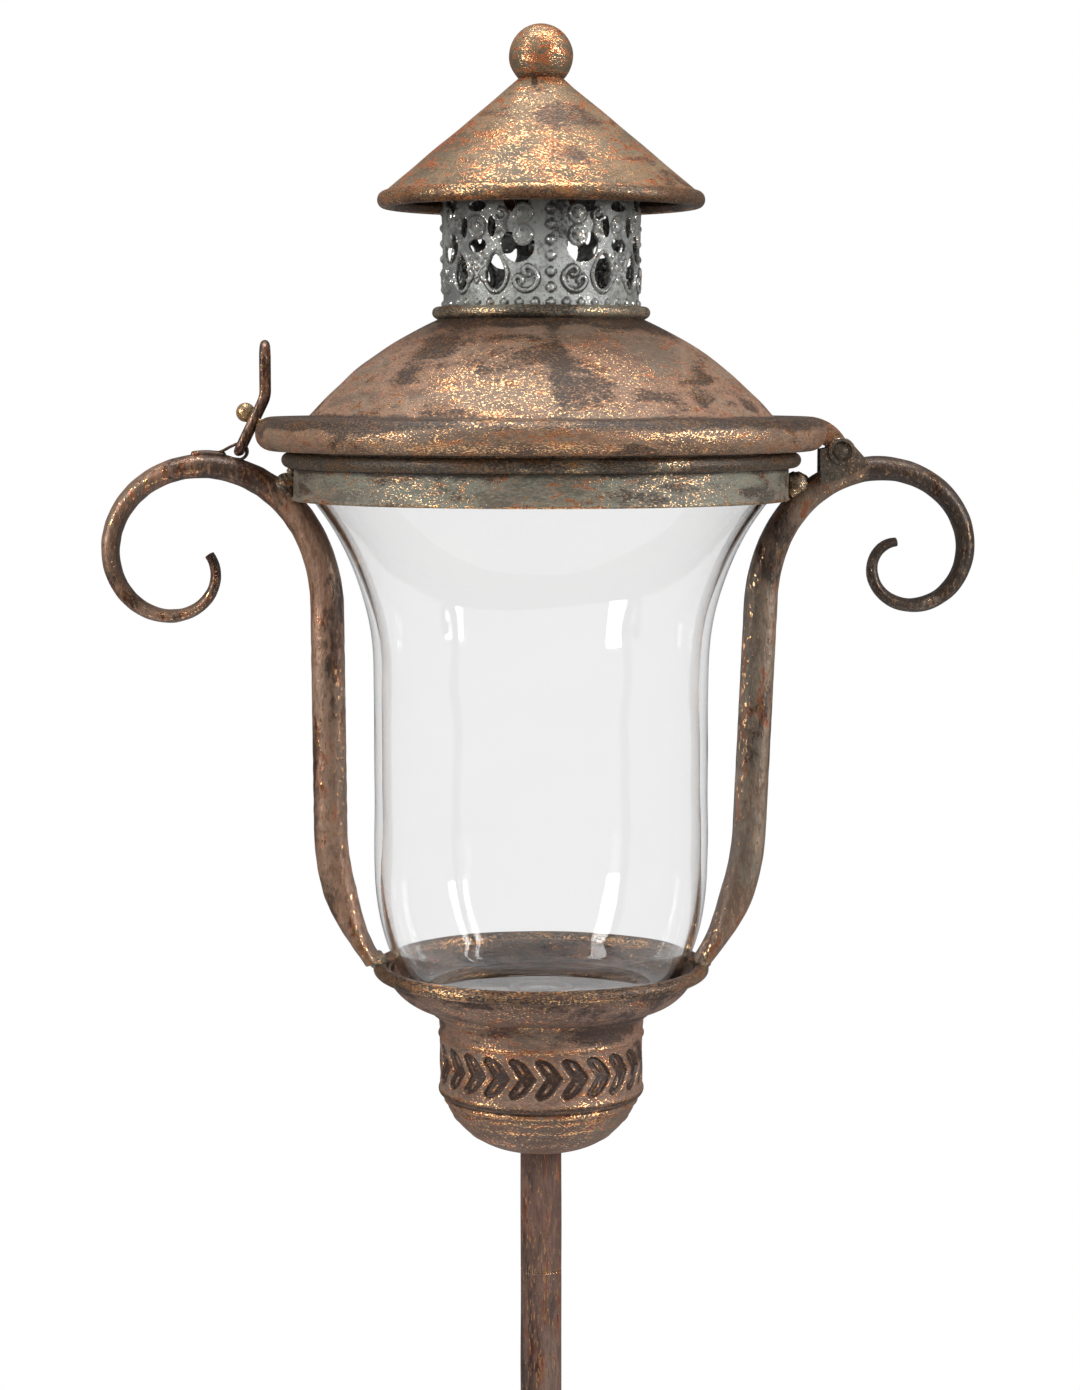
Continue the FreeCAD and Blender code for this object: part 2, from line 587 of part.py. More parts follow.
def build():
    """All the lantern's pieces by name."""
    right_bar = arm_bar(RIGHT_ARM)
    left_bar = arm_bar(LEFT_ARM)
    right_arm = trimmed_arm(right_bar)
    left_arm = trimmed_arm(left_bar)
    stub_top = up(CUP_TOP) - FIT_GAP
    return {
        "ground_spike": ground_spike(),
        "pole_lower": pole_tube(0, POLE_SECTION),
        "pole_spigot_lower": spigot(POLE_SECTION),
        "pole_upper": pole_tube(POLE_SECTION, 2 * POLE_SECTION),
        "pole_spigot_upper": spigot(2 * POLE_SECTION),
        "pole_stub": pole_tube(2 * POLE_SECTION, stub_top),
        "stub_insert": stub_insert(),
        "cup": cup(),
        "dish": dish(),
        "dish_washer": dish_washer(),
        "dish_screw": dish_screw(),
        "base_ring": torus(RING_R, RING_WIRE_R, RING_LEVEL),
        "arm_right": right_arm,
        "arm_left": mirrored(left_arm),
        "collar_tie_right": collar_tie(right_arm),
        "collar_tie_left": mirrored(collar_tie(left_arm)),
        "collar_band": collar_band(),
        "collar_bead_wire": torus(COLLAR_BEAD_RING, COLLAR_BEAD_R - 0.9, COLLAR_BEAD),
        "glass_shade": glass_shade(),
        "lid_dome": lid_dome(),
        "chimney_base_ring": chimney_base_ring(),
        "chimney_band": chimney_band(),
        "roof_cone": roof_cone(),
        "roof_edge_wire": torus(ROOF_RIM_R, ROOF_ROLL - ROOF_SHEET - 0.05, ROOF_RIM),
        "finial_screw": finial_screw(),
        "finial_ball": finial_ball(),
        "hinge_bracket": hinge_bracket(right_bar),
        "hinge_pin": hinge_pin(),
        "hinge_strap": hinge_strap(),
        "latch_bracket": latch_bracket(mirrored(left_bar)),
        "latch_stud": latch_stud(),
        "latch_bail": latch_bail(),
    }


def main():
    os.makedirs("parts", exist_ok=True)
    for name, shape in build().items():
        solids = shape.Solids
        kept = solids[0] if len(solids) == 1 else Part.makeCompound(solids)
        kept.exportStep(os.path.join("parts", name + ".step"))
        print(f"{name:20s} solids {len(solids)} valid {kept.isValid()} volume {kept.Volume:10.1f} mm3")


main()
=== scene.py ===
import json
import math

import bmesh
import bpy
import numpy as np
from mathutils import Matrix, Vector


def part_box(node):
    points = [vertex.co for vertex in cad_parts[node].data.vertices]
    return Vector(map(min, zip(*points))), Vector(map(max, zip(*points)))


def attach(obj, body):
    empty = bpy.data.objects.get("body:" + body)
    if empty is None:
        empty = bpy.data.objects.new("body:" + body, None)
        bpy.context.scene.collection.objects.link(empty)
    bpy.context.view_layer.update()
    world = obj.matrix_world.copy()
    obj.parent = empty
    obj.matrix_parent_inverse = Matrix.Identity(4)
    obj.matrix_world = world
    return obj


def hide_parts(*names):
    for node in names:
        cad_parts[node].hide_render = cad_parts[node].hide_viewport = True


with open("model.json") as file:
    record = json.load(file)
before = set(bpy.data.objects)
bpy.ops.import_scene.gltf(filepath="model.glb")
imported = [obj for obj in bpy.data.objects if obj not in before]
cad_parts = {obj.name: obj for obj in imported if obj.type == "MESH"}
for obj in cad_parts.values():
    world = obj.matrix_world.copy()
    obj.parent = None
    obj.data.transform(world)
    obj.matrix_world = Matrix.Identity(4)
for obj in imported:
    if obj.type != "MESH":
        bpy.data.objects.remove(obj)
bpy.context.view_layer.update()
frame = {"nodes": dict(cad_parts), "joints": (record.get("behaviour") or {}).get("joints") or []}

# The candle lantern's looks. Shapes are in millimetres: radii from the pole's axis, and heights above the
# foot of the cup, where the lantern's head begins.
MM = 0.001
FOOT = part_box("cup")[0].z
TAU = 2 * math.pi
JOINTS = {joint["name"]: joint for joint in frame["joints"]}


def head_mm(value):
    """Height above the cup's foot, in mm, of a height in the frame."""
    return (value - FOOT) / MM


HINGE_X = JOINTS["lid_hinge"]["pos_m"][0] / MM
HINGE_H = head_mm(JOINTS["lid_hinge"]["pos_m"][2])
LATCH_X = JOINTS["latch_swing"]["pos_m"][0] / MM
LATCH_H = head_mm(JOINTS["latch_swing"]["pos_m"][2])
POLE_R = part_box("pole_upper")[1].x / MM
GROUND = head_mm(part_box("pole_lower")[0].z)
POLE_JOINT = head_mm(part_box("pole_upper")[0].z)
STUB_JOINT = head_mm(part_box("pole_stub")[0].z)
SPIKE_TIP = head_mm(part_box("ground_spike")[0].z)


# --- shader building ---
def node(tree, kind, inputs=None, **settings):
    """A shader node with its settings, and its inputs given as values or linked sockets."""
    made = tree.nodes.new("ShaderNode" + kind)
    for key, value in settings.items():
        setattr(made, key, value)
    for key, value in (inputs or {}).items():
        if isinstance(value, bpy.types.NodeSocket):
            tree.links.new(value, made.inputs[key])
        else:
            made.inputs[key].default_value = value
    return made


def noise_of(tree, vector, size_mm, detail, roughness, distortion=0.0):
    """Noise whose features are about size_mm across."""
    inputs = {"Vector": vector, "Scale": 1 / (size_mm * MM), "Detail": detail, "Roughness": roughness,
              "Distortion": distortion}
    return node(tree, "TexNoise", inputs).outputs["Fac"]


def spread_noise(tree, vector, size_mm, detail, roughness, distortion=0.0):
    """Noise stretched to fill 0 to 1."""
    noise = noise_of(tree, vector, size_mm, detail, roughness, distortion)
    return node(tree, "MapRange", {"Value": noise, "From Min": 0.3, "From Max": 0.7}).outputs["Result"]


def weighted(tree, *terms):
    """Sum of (weight, value) terms."""
    total = maths(tree, "MULTIPLY", *terms[0])
    for weight, value in terms[1:]:
        total = maths(tree, "ADD", total, maths(tree, "MULTIPLY", weight, value))
    return total


def ramp(tree, value, low, high, from_value=0.0, to_value=1.0):
    """Smooth step of value between low and high."""
    inputs = {"Value": value, "From Min": low, "From Max": high, "To Min": from_value, "To Max": to_value}
    return node(tree, "MapRange", inputs, interpolation_type="SMOOTHSTEP").outputs["Result"]


def maths(tree, operation, a, b):
    """Result of a Math node. a and b are numbers or sockets."""
    return node(tree, "Math", {0: a, 1: b}, operation=operation).outputs[0]


def blend(tree, factor, a, b):
    """Colour mix. a and b are colours or sockets."""
    made = node(tree, "Mix", {0: factor, 6: a, 7: b}, data_type="RGBA")
    return made.outputs[2]


def rgb(red, green, blue):
    """Colour from display values of 0 to 255."""
    def linear(value):
        value /= 255
        return value / 12.92 if value < 0.04045 else ((value + 0.055) / 1.055) ** 2.4
    return (linear(red), linear(green), linear(blue), 1.0)


def new_material(name):
    """An empty material and its node tree."""
    material = bpy.data.materials.new(name)
    material.use_nodes = True
    tree = material.node_tree
    tree.nodes.clear()
    return material, tree


def finish_material(tree, colour, roughness, metallic, normal=None, extra=None):
    """Add the surface shader and the output."""
    inputs = {"Base Color": colour, "Roughness": roughness, "Metallic": metallic}
    inputs.update(extra or {})
    if normal is not None:
        inputs["Normal"] = normal
    shader = node(tree, "BsdfPrincipled", inputs)
    output = node(tree, "OutputMaterial")
    tree.links.new(shader.outputs[0], output.inputs["Surface"])


TAUPE = rgb(128, 98, 80)
OLIVE = rgb(112, 90, 66)
SAGE = rgb(116, 110, 98)
# The dark below is that of smudges and, on the dome, of painted shade and a painted dark reflection.
SOOT_AND_SHADE = rgb(40, 33, 30)
COPPER = rgb(176, 96, 56)
BRIGHT = rgb(246, 196, 138)
PATINA = rgb(128, 130, 116)
RUST = rgb(186, 92, 44)

# Sizes in mm of the marks in aged paint, from broad clouds down to single specks.
CLOUD, VERDIGRIS, PATCH, MOTTLE, RUST_SPOT, GRAIN, SPECK = 40, 27, 15, 4.5, 3.4, 1.3, 0.7


def aged_metal(name, base, shade, rub, stretch, rubbed, shaded, flake, shift, smooth, patina,
               glint=BRIGHT, sheen=0.15):
    """Rubbed antique paint over copper: dark smudges, copper showing through, and fine bright flakes.
    rubbed, shaded, flake, smooth and patina say how much there is of each, and shift moves the pattern.
    The mesh's ridge value adds wear to edges, and its other value adds soot and painted shade."""
    material, tree = new_material(name)
    place = node(tree, "TexCoord").outputs["Object"]
    moved = {"Vector": place, "Location": (shift, shift, shift), "Scale": stretch}
    place = node(tree, "Mapping", moved).outputs[0]
    ridge = node(tree, "Attribute", attribute_name="ridge").outputs["Fac"]
    soot_and_shade = node(tree, "Attribute", attribute_name="soot_and_shade").outputs["Fac"]
    cloud = spread_noise(tree, place, CLOUD, 3, 0.55, 0.3)
    patch = spread_noise(tree, place, PATCH, 6, 0.62, 0.6)
    mottle = spread_noise(tree, place, MOTTLE, 6, 0.7, 0.6)
    grain = spread_noise(tree, place, GRAIN, 4, 0.7)
    speck = spread_noise(tree, place, SPECK, 1, 0.5)
    mixed = weighted(tree, (0.55, patch), (0.45, mottle))

    pale = ramp(tree, weighted(tree, (0.35, cloud), (0.4, mixed), (0.25, grain)), 0.33, 0.67)
    light = tuple(min(1.0, c * 1.8) for c in base[:3]) + (1,)
    deep = tuple(c * 0.62 for c in base[:3]) + (1,)
    colour = blend(tree, pale, deep, light)
    green = spread_noise(tree, place, VERDIGRIS, 4, 0.6, 0.5)
    green = ramp(tree, weighted(tree, (0.6, green), (0.4, grain)), 0.4, 0.62)
    colour = blend(tree, maths(tree, "MULTIPLY", green, patina), colour, PATINA)
    worn = weighted(tree, (0.6, mottle), (0.4, patch), (0.12, ridge))
    worn = ramp(tree, worn, 0.78 - 0.28 * rubbed, 0.90 - 0.28 * rubbed)
    colour = blend(tree, maths(tree, "MULTIPLY", worn, 0.85), colour, rub)
    rust = ramp(tree, spread_noise(tree, place, RUST_SPOT, 5, 0.7, 0.4), 0.7, 0.86)
    colour = blend(tree, maths(tree, "MULTIPLY", worn, rust), colour, RUST)
    # Random dark smudges, together with the mesh's soot and painted shade, blend towards the shade colour.
    smudge_and_shade = weighted(tree, (0.46, cloud), (0.34, patch), (0.2, grain), (0.42, soot_and_shade))
    dark = ramp(tree, smudge_and_shade, 0.68 - 0.3 * shaded, 0.88 - 0.3 * shaded)
    colour = blend(tree, maths(tree, "MULTIPLY", dark, 0.9), colour, shade)
    flakes = weighted(tree, (1.0, speck), (0.5, mixed), (0.22, ridge), (0.12, worn))
    flakes = ramp(tree, flakes, 1.27 - 0.3 * flake, 1.31 - 0.3 * flake)
    not_dark = maths(tree, "SUBTRACT", 1.0, maths(tree, "MULTIPLY", dark, 0.85))
    flakes = maths(tree, "MULTIPLY", flakes, not_dark)
    colour = blend(tree, flakes, colour, glint)

    rough = ramp(tree, grain, 0.2, 0.8, 0.70 - 0.3 * smooth, 0.80 - 0.3 * smooth)
    rough = maths(tree, "SUBTRACT", rough, weighted(tree, (0.10, worn), (0.42, flakes), (0.2, soot_and_shade)))
    metal = weighted(tree, (0.75, flakes), (0.15, worn), (sheen, 1.0))
    height = weighted(tree, (0.9, speck), (0.5, grain), (0.7, mottle))
    bump = node(tree, "Bump", {"Height": height, "Strength": 0.5, "Distance": 0.17 * MM}).outputs[0]
    finish_material(tree, colour, rough, metal, bump)
    return material


def glass_material():
    """Clear glass, slightly wavy up its height."""
    material, tree = new_material("clear_glass")
    place = node(tree, "TexCoord").outputs["Object"]
    place = node(tree, "Mapping", {"Vector": place, "Scale": (0.4, 0.4, 1.0)}).outputs[0]
    waves = noise_of(tree, place, 14, 2, 0.4)
    bump = node(tree, "Bump", {"Height": waves, "Strength": 0.12, "Distance": 0.3 * MM}).outputs[0]
    tint = blend(tree, waves, rgb(249, 249, 249), rgb(247, 247, 247))
    finish_material(tree, tint, 0.0, 0.0, bump, {"IOR": 1.46, "Transmission Weight": 1.0})
    return material


def plain_steel(name, light, dark, rough):
    """Evenly mottled metal for the parts that stay as they are in the CAD."""
    material, tree = new_material(name)
    place = node(tree, "TexCoord").outputs["Object"]
    grain = noise_of(tree, place, 1.6, 4, 0.6)
    cloud = noise_of(tree, place, 9, 4, 0.6)
    colour = blend(tree, maths(tree, "MULTIPLY", grain, cloud), dark, light)
    bump = node(tree, "Bump", {"Height": grain, "Strength": 0.3, "Distance": 0.1 * MM}).outputs[0]
    finish_material(tree, colour, ramp(tree, grain, 0.3, 0.7, rough - 0.08, rough + 0.1), 0.9, bump)
    return material


# --- mesh building ---
def arc(centre_r, centre_h, radius, start, stop, count):
    """Points of an arc in the half section, with angles in degrees from outwards towards up."""
    turns = np.radians(np.linspace(start, stop, count + 1))
    return [(centre_r + radius * math.cos(t), centre_h + radius * math.sin(t)) for t in turns]


def line(a, b, step):
    """Evenly spaced points from a to b."""
    count = max(1, math.ceil(math.dist(a, b) / step))
    return [(a[0] + (b[0] - a[0]) * k / count, a[1] + (b[1] - a[1]) * k / count) for k in range(count + 1)]


def waves(theta, height, seed, amount, count, longest):
    """Smooth hand-made unevenness, in mm, over a turned surface."""
    dice = np.random.default_rng(seed)
    total = np.zeros(np.broadcast(theta, height).shape)
    for _ in range(count):
        around = int(dice.integers(1, 9))
        along = TAU / dice.uniform(longest * 0.25, longest)
        total = total + np.sin(around * theta + along * height + dice.uniform(0, TAU))
    return total * amount / math.sqrt(count)


def mark_surface(mesh, soot_and_shade):
    """Store how sharply convex each vertex is (ridge), and how much soot and painted shade darken it."""
    count = len(mesh.vertices)
    at, out = np.empty(count * 3), np.empty(count * 3)
    mesh.vertices.foreach_get("co", at)
    mesh.vertices.foreach_get("normal", out)
    at, out = at.reshape(-1, 3) / MM, out.reshape(-1, 3)
    ends = np.empty(len(mesh.edges) * 2, int)
    mesh.edges.foreach_get("vertices", ends)
    ends = ends.reshape(-1, 2)
    ridge = np.zeros(count)
    for a, b in ((ends[:, 0], ends[:, 1]), (ends[:, 1], ends[:, 0])):
        span = at[a] - at[b]
        bend = 2 * np.einsum("ij,ij->i", out[a], span) / np.maximum((span ** 2).sum(1), 1e-4)
        np.maximum.at(ridge, a, bend)
    ridge = np.clip((ridge - 0.06) / 0.4, 0, 1)
    mesh.attributes.new("ridge", "FLOAT", "POINT").data.foreach_set("value", ridge)
    if soot_and_shade:
        level = head_mm(at[:, 2] * MM)
        shade_and_soot = soot_and_shade(np.arctan2(at[:, 1], at[:, 0]), np.hypot(at[:, 0], at[:, 1]), level)
        mesh.attributes.new("soot_and_shade", "FLOAT", "POINT").data.foreach_set("value", np.clip(shade_and_soot, 0, 1))


def piece(name, shape, body, material, replaced=(), sharp=38.0, soot_and_shade=None):
    """A smooth-shaded piece from points, in mm from the axis and the cup's foot, and faces."""
    points, faces = shape
    placed = np.asarray(points, float) * MM + np.array([0, 0, FOOT])
    mesh = bpy.data.meshes.new(name)
    mesh.from_pydata(placed.tolist(), [], [list(f) for f in faces])
    work = bmesh.new()
    work.from_mesh(mesh)
    bmesh.ops.remove_doubles(work, verts=work.verts, dist=1e-6)
    bmesh.ops.dissolve_degenerate(work, edges=work.edges, dist=1e-7)
    bmesh.ops.recalc_face_normals(work, faces=work.faces)
    work.to_mesh(mesh)
    work.free()
    mark_surface(mesh, soot_and_shade)
    mesh.shade_smooth()
    mesh.set_sharp_from_angle(angle=math.radians(sharp))
    mesh.materials.append(material)
    made = bpy.data.objects.new(name, mesh)
    bpy.context.scene.collection.objects.link(made)
    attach(made, body)
    if replaced:
        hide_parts(*replaced)
    return made


def turned(section, segments, relief=None):
    """Points and faces of a closed half section turned about the pole's axis.
    relief(theta, r, h) moves its skin out."""
    profile = [p for k, p in enumerate(section) if math.dist(p, section[k - 1]) > 1e-5]
    r = np.array([p[0] for p in profile])[:, None]
    h = np.array([p[1] for p in profile])[:, None]
    theta = np.linspace(0, TAU, segments, endpoint=False)[None, :]
    moved = relief(theta, r, h) if relief else np.zeros_like(theta)
    out = r + moved * (r > 1e-6)
    rings = [out * np.cos(theta), out * np.sin(theta), np.broadcast_to(h, out.shape)]
    return np.stack(rings, -1).reshape(-1, 3), grid_faces(len(profile), segments, closed=True)


def grid_faces(rings, segments, closed):
    """Faces between rings of points. closed joins the last ring to the first."""
    faces = []
    for k in range(rings if closed else rings - 1):
        n = (k + 1) % rings
        for s in range(segments):
            t = (s + 1) % segments
            faces.append((k * segments + s, k * segments + t, n * segments + t, n * segments + s))
    return faces


def tube(path, widths, depths, segments, side=None, power=2.0, dome=0.7):
    """Swept bar along path, with rounded ends. Its section is widths across side, depths the other way.
    A power above 2 squares the section, and dome is how far its ends stand out."""
    path = np.asarray(path, float)
    tangent = np.gradient(path, axis=0)
    tangent /= np.linalg.norm(tangent, axis=1)[:, None]
    if side is None:
        away = [0, 0, 1.0] if abs(tangent[0][2]) < 0.9 else [1.0, 0, 0]
        first = np.cross(tangent[0], away)
        sides = [first / np.linalg.norm(first)]
        for k in range(1, len(path)):
            carried = sides[-1] - tangent[k] * np.dot(sides[-1], tangent[k])
            sides.append(carried / np.linalg.norm(carried))
        sides = np.array(sides)
    else:
        sides = np.tile(np.asarray(side, float), (len(path), 1))
    other = np.cross(tangent, sides)
    a = np.broadcast_to(np.asarray(widths, float) / 2, len(path))
    b = np.broadcast_to(np.asarray(depths, float) / 2, len(path))
    turn = np.linspace(0, TAU, segments, endpoint=False)
    across = np.sign(np.cos(turn)) * np.abs(np.cos(turn)) ** (2 / power)
    along = np.sign(np.sin(turn)) * np.abs(np.sin(turn)) ** (2 / power)

    def ring(k, share=1.0, ahead=0):
        """Ring of points at path point k, smaller and further ahead towards a rounded end."""
        reach = min(a[k], b[k]) * math.sqrt(1 - share ** 2) * dome
        centre = path[k] + ahead * tangent[k] * reach
        return centre + np.outer(across, sides[k]) * a[k] * share + np.outer(along, other[k]) * b[k] * share

    caps = [0.15, 0.45, 0.75, 0.93]
    rings = [ring(0, share, -1) for share in caps]
    rings += [ring(k) for k in range(len(path))]
    rings += [ring(-1, share, 1) for share in caps[::-1]]
    faces = grid_faces(len(rings), segments, closed=False)
    faces.append(tuple(range(segments))[::-1])
    faces.append(tuple((len(rings) - 1) * segments + s for s in range(segments)))
    return np.concatenate(rings), faces


def prism(outline, y0, y1):
    """Points and faces of a flat outline in x and height, drawn out from y0 to y1."""
    n = len(outline)
    faces = [tuple(range(n)), tuple(range(2 * n - 1, n - 1, -1))]
    faces += [(k, (k + 1) % n, n + (k + 1) % n, n + k) for k in range(n)]
    return np.array([(x, y, h) for y in (y0, y1) for x, h in outline]), faces


def joined(*parts):
    """One set of points and faces from several."""
    points, faces = [], []
    for p, f in parts:
        base = sum(len(q) for q in points)
        points.append(np.asarray(p, float))
        faces += [tuple(base + i for i in face) for face in f]
    return np.concatenate(points), faces


def lump(centre, radii, seed):
    """Weld blob: an uneven closed ball."""
    points, faces = turned(arc(0, 0, 1, -90, 90, 24), 48)
    direction = points / np.maximum(np.linalg.norm(points, axis=1), 1e-6)[:, None]
    theta = np.arctan2(direction[:, 1], direction[:, 0])
    uneven = 1 + waves(theta, direction[:, 2] * 30, seed, 0.06, 6, 40)
    return points * uneven[:, None] * np.array(radii) + np.array(centre), faces


# --- lantern head ---
BALL_H, BALL_R = 314.0, 9.05
ROOF_TOP_R, ROOF_TOP_H = 6.3, 308.0
ROLL_R, ROLL_H, ROLL = 44.2, 273.8, 2.4


def finial_ball(material):
    """Turned ball, flat where it sits on the roof."""
    neck = math.degrees(math.acos(ROOF_TOP_R / BALL_R))
    section = arc(0, BALL_H, BALL_R, 90, -neck, 40) + [(0, BALL_H - BALL_R * math.sin(math.radians(neck)))]
    shape = turned(section, 128, lambda t, r, h: waves(t, h, 3, 0.05, 8, 14))

    # Painted shade on the underside of the ball, where it sits on the roof.
    def shade_and_soot(theta, r, h):
        return 0.6 * np.clip((BALL_H - 2.5 - h) / 4, 0, 1)

    piece("finial_knob", shape, "lid", material, ["finial_ball"], soot_and_shade=shade_and_soot)


def roof(material):
    """Spun cone, slightly uneven, with its edge rolled under."""
    sheet = 0.8
    shoulder = (ROLL_R - 0.5, ROLL_H + ROLL + 0.35)
    outer = line((ROOF_TOP_R - 0.4, ROOF_TOP_H), shoulder, 1.2)
    roll = arc(ROLL_R, ROLL_H, ROLL, 92, -175, 30)
    inner = line((ROLL_R - 1.6, ROLL_H + 1.2), (ROOF_TOP_R - 1.2, ROOF_TOP_H - 1.4 * sheet), 3.0)
    shape = turned(outer + roll + inner, 256, lambda t, r, h: waves(t, h, 11, 0.16, 10, 34))

    def shade_and_soot(theta, r, h):
        """Darker on the rolled rim below its top edge, and painted shade all over the underside."""
        rim = np.clip((r - ROLL_R + 1.0) / 0.8, 0, 1) * np.clip((ROLL_H + 2.2 - h) / 0.8, 0, 1)
        slope = (shoulder[1] - ROOF_TOP_H) / (shoulder[0] - ROOF_TOP_R)
        under = (h < ROOF_TOP_H + (r - ROOF_TOP_R) * slope - 0.5) & (r < ROLL_R - 1.4)
        return 0.5 * rim + under

    piece("roof_shell", shape, "lid", material, ["roof_cone"], soot_and_shade=shade_and_soot)


BAND_R, BAND_FOOT, BAND_TOP, BAND_WALL = 28.0, 239.0, 287.0, 0.8
STRAP_TURN = math.radians(-90 + 5.5)
# The pattern repeats in mirrored units. u is the distance round the band from a beaded strap.
UNIT = TAU * BAND_R / 8
STRAP_BEADS, STRAP_BEAD_H, STRAP_BEAD_STEP = 7, 248.4, 4.32
FOOT_BEADS, FOOT_BEAD_H = 40, 244.4
SCROLL_U, SCROLL_H, SCROLL_R, SCROLL_END_R = 7.0, 250.9, 3.3, 1.15
LOBE_U, LOBE_LOW, LOBE_HIGH, LOBE_R = 7.7, 262.8, 268.8, 2.3
LINK_U, LINK_LOW, LINK_HIGH, LINK_R = 14.0, 263.0, 268.4, 1.55
DROP_U, DROP_H = 15.8, 252.9
BOSS_H, BOSS_R = 265.2, 2.75


def circle_gap(u, h, cu, ch, radius):
    """Distance to a circle, negative inside."""
    return np.hypot(u - cu, h - ch) - radius


def ellipse_gap(u, h, cu, ch, half_u, half_h):
    """Near distance to an ellipse, negative inside."""
    scaled = np.hypot((u - cu) / half_u, (h - ch) / half_h)
    slope = np.hypot((u - cu) / half_u ** 2, (h - ch) / half_h ** 2)
    return scaled * (scaled - 1) / np.maximum(slope, 1e-6)


def drop_gap(u, h):
    """Tear-drop opening between the scroll and the next unit, pointed at its top."""
    narrow = 1 + 0.05 * np.maximum(h - 252.0, 0) ** 1.4
    return ellipse_gap(DROP_U + (u - DROP_U) * narrow, h, DROP_U, DROP_H, 2.8, 4.7)


def under_lobe_gap(u, h):
    """Bowl-shaped opening round the underside of the lower lobe."""
    bowl = ellipse_gap(u, h, 9.2, 260.1, 4.8, 4.8)
    bowl = np.maximum(bowl, -circle_gap(u, h, LOBE_U, LOBE_LOW, 3.0))
    return np.maximum.reduce([bowl, 4.5 - u, h - 263.6])


def over_lobe_gap(u, h):
    """Opening round the top of the upper lobe."""
    arch = ellipse_gap(u, h, 9.2, 273.2, 4.4, 4.5)
    arch = np.maximum(arch, -circle_gap(u, h, LOBE_U, LOBE_HIGH, 2.9))
    return np.maximum.reduce([arch, 4.7 - u, 268.6 - h])


def band_openings(u, h):
    """Distance to the pierced openings of the chimney, negative inside one."""
    u = np.abs(u)
    slot = ellipse_gap(u, h, 17.0, 265.3, 1.35, 3.0)
    cap = ellipse_gap(u, h, UNIT, 270.9, 3.2, 1.5)
    foot = ellipse_gap(u, h, UNIT, 260.3, 3.2, 2.1)
    foot = np.maximum(foot, -circle_gap(u, h, UNIT, BOSS_H, 3.5))
    crown = ellipse_gap(u, h, UNIT, 277.6, 4.8, 2.9)
    lobes = [under_lobe_gap(u, h), over_lobe_gap(u, h)]
    return np.minimum.reduce(lobes + [slot, cap, foot, crown, drop_gap(u, h)])


def bump_of(distance, width, height):
    """Rounded rise of the given height within width of distance zero."""
    return height * np.clip(1 - (distance / width) ** 2, 0, 1)


def rib_lines():
    """Points along the raised ribs: the C-scroll with its two end curls, the link of two curls crossed
    in the middle, and the curl in the drop."""
    ribs = arc(SCROLL_U, SCROLL_H, SCROLL_R, 105, 345, 33)
    ribs += arc(6.44, 252.98, SCROLL_END_R, 105, -110, 15) + arc(9.08, 250.34, SCROLL_END_R, -15, 200, 13)
    ribs += arc(LINK_U, LINK_HIGH, LINK_R, 330, 80, 17) + arc(LINK_U, LINK_LOW, LINK_R, 30, 280, 17)
    for foot, rise in ((266.3, -0.3), (265.1, 0.3)):
        ribs += [(13.0 + 0.4 * k, foot + rise * k) for k in range(5)]
    return ribs + arc(18.9, 252.0, 1.5, 100, -140, 13)


def rib_gap(side, h):
    """Distance to the nearest rib."""
    nearest = np.full(np.broadcast(side, h).shape, 99.0)
    for su, sh in rib_lines():
        nearest = np.minimum(nearest, circle_gap(side, h, su, sh, 0))
    return nearest


def band_relief(u, h):
    """Height of the chimney's embossing, in mm, outwards."""
    side = np.abs(u)
    pitch = TAU * BAND_R / FOOT_BEADS
    along = (u + pitch / 2) % pitch - pitch / 2
    rises = [bump_of(circle_gap(u, h, 0, STRAP_BEAD_H + STRAP_BEAD_STEP * k, 0), 1.35, 0.8)
             for k in range(STRAP_BEADS)]
    rises.append(bump_of(np.hypot(along, h - FOOT_BEAD_H), 1.1, 0.75))
    rises.append(bump_of(rib_gap(side, h), 0.62, 0.7))
    for level in (LOBE_LOW, LOBE_HIGH):
        rises.append(bump_of(circle_gap(side, h, LOBE_U, level, LOBE_R), 0.5, 0.4))
        rises.append(bump_of(circle_gap(side, h, LOBE_U, level, 0), 2.2, 0.6))
    rises.append(bump_of(circle_gap(side, h, UNIT, BOSS_H, BOSS_R), 0.55, 0.5))
    rises.append(bump_of(circle_gap(side, h, UNIT, BOSS_H, 0), 2.0, 0.7))
    rises.append(bump_of(drop_gap(side, h) - 0.75, 0.55, 0.6))
    studs = ((0, 257.0), (1.9, 258.3), (1.7, 255.6), (0, 254.0), (1.5, 252.2), (0, 250.4), (2.9, 256.9))
    for du, dh in studs:
        rises.append(bump_of(circle_gap(np.abs(side - UNIT), h, du, dh, 0), 0.8, 0.6))
    return np.maximum.reduce(rises)


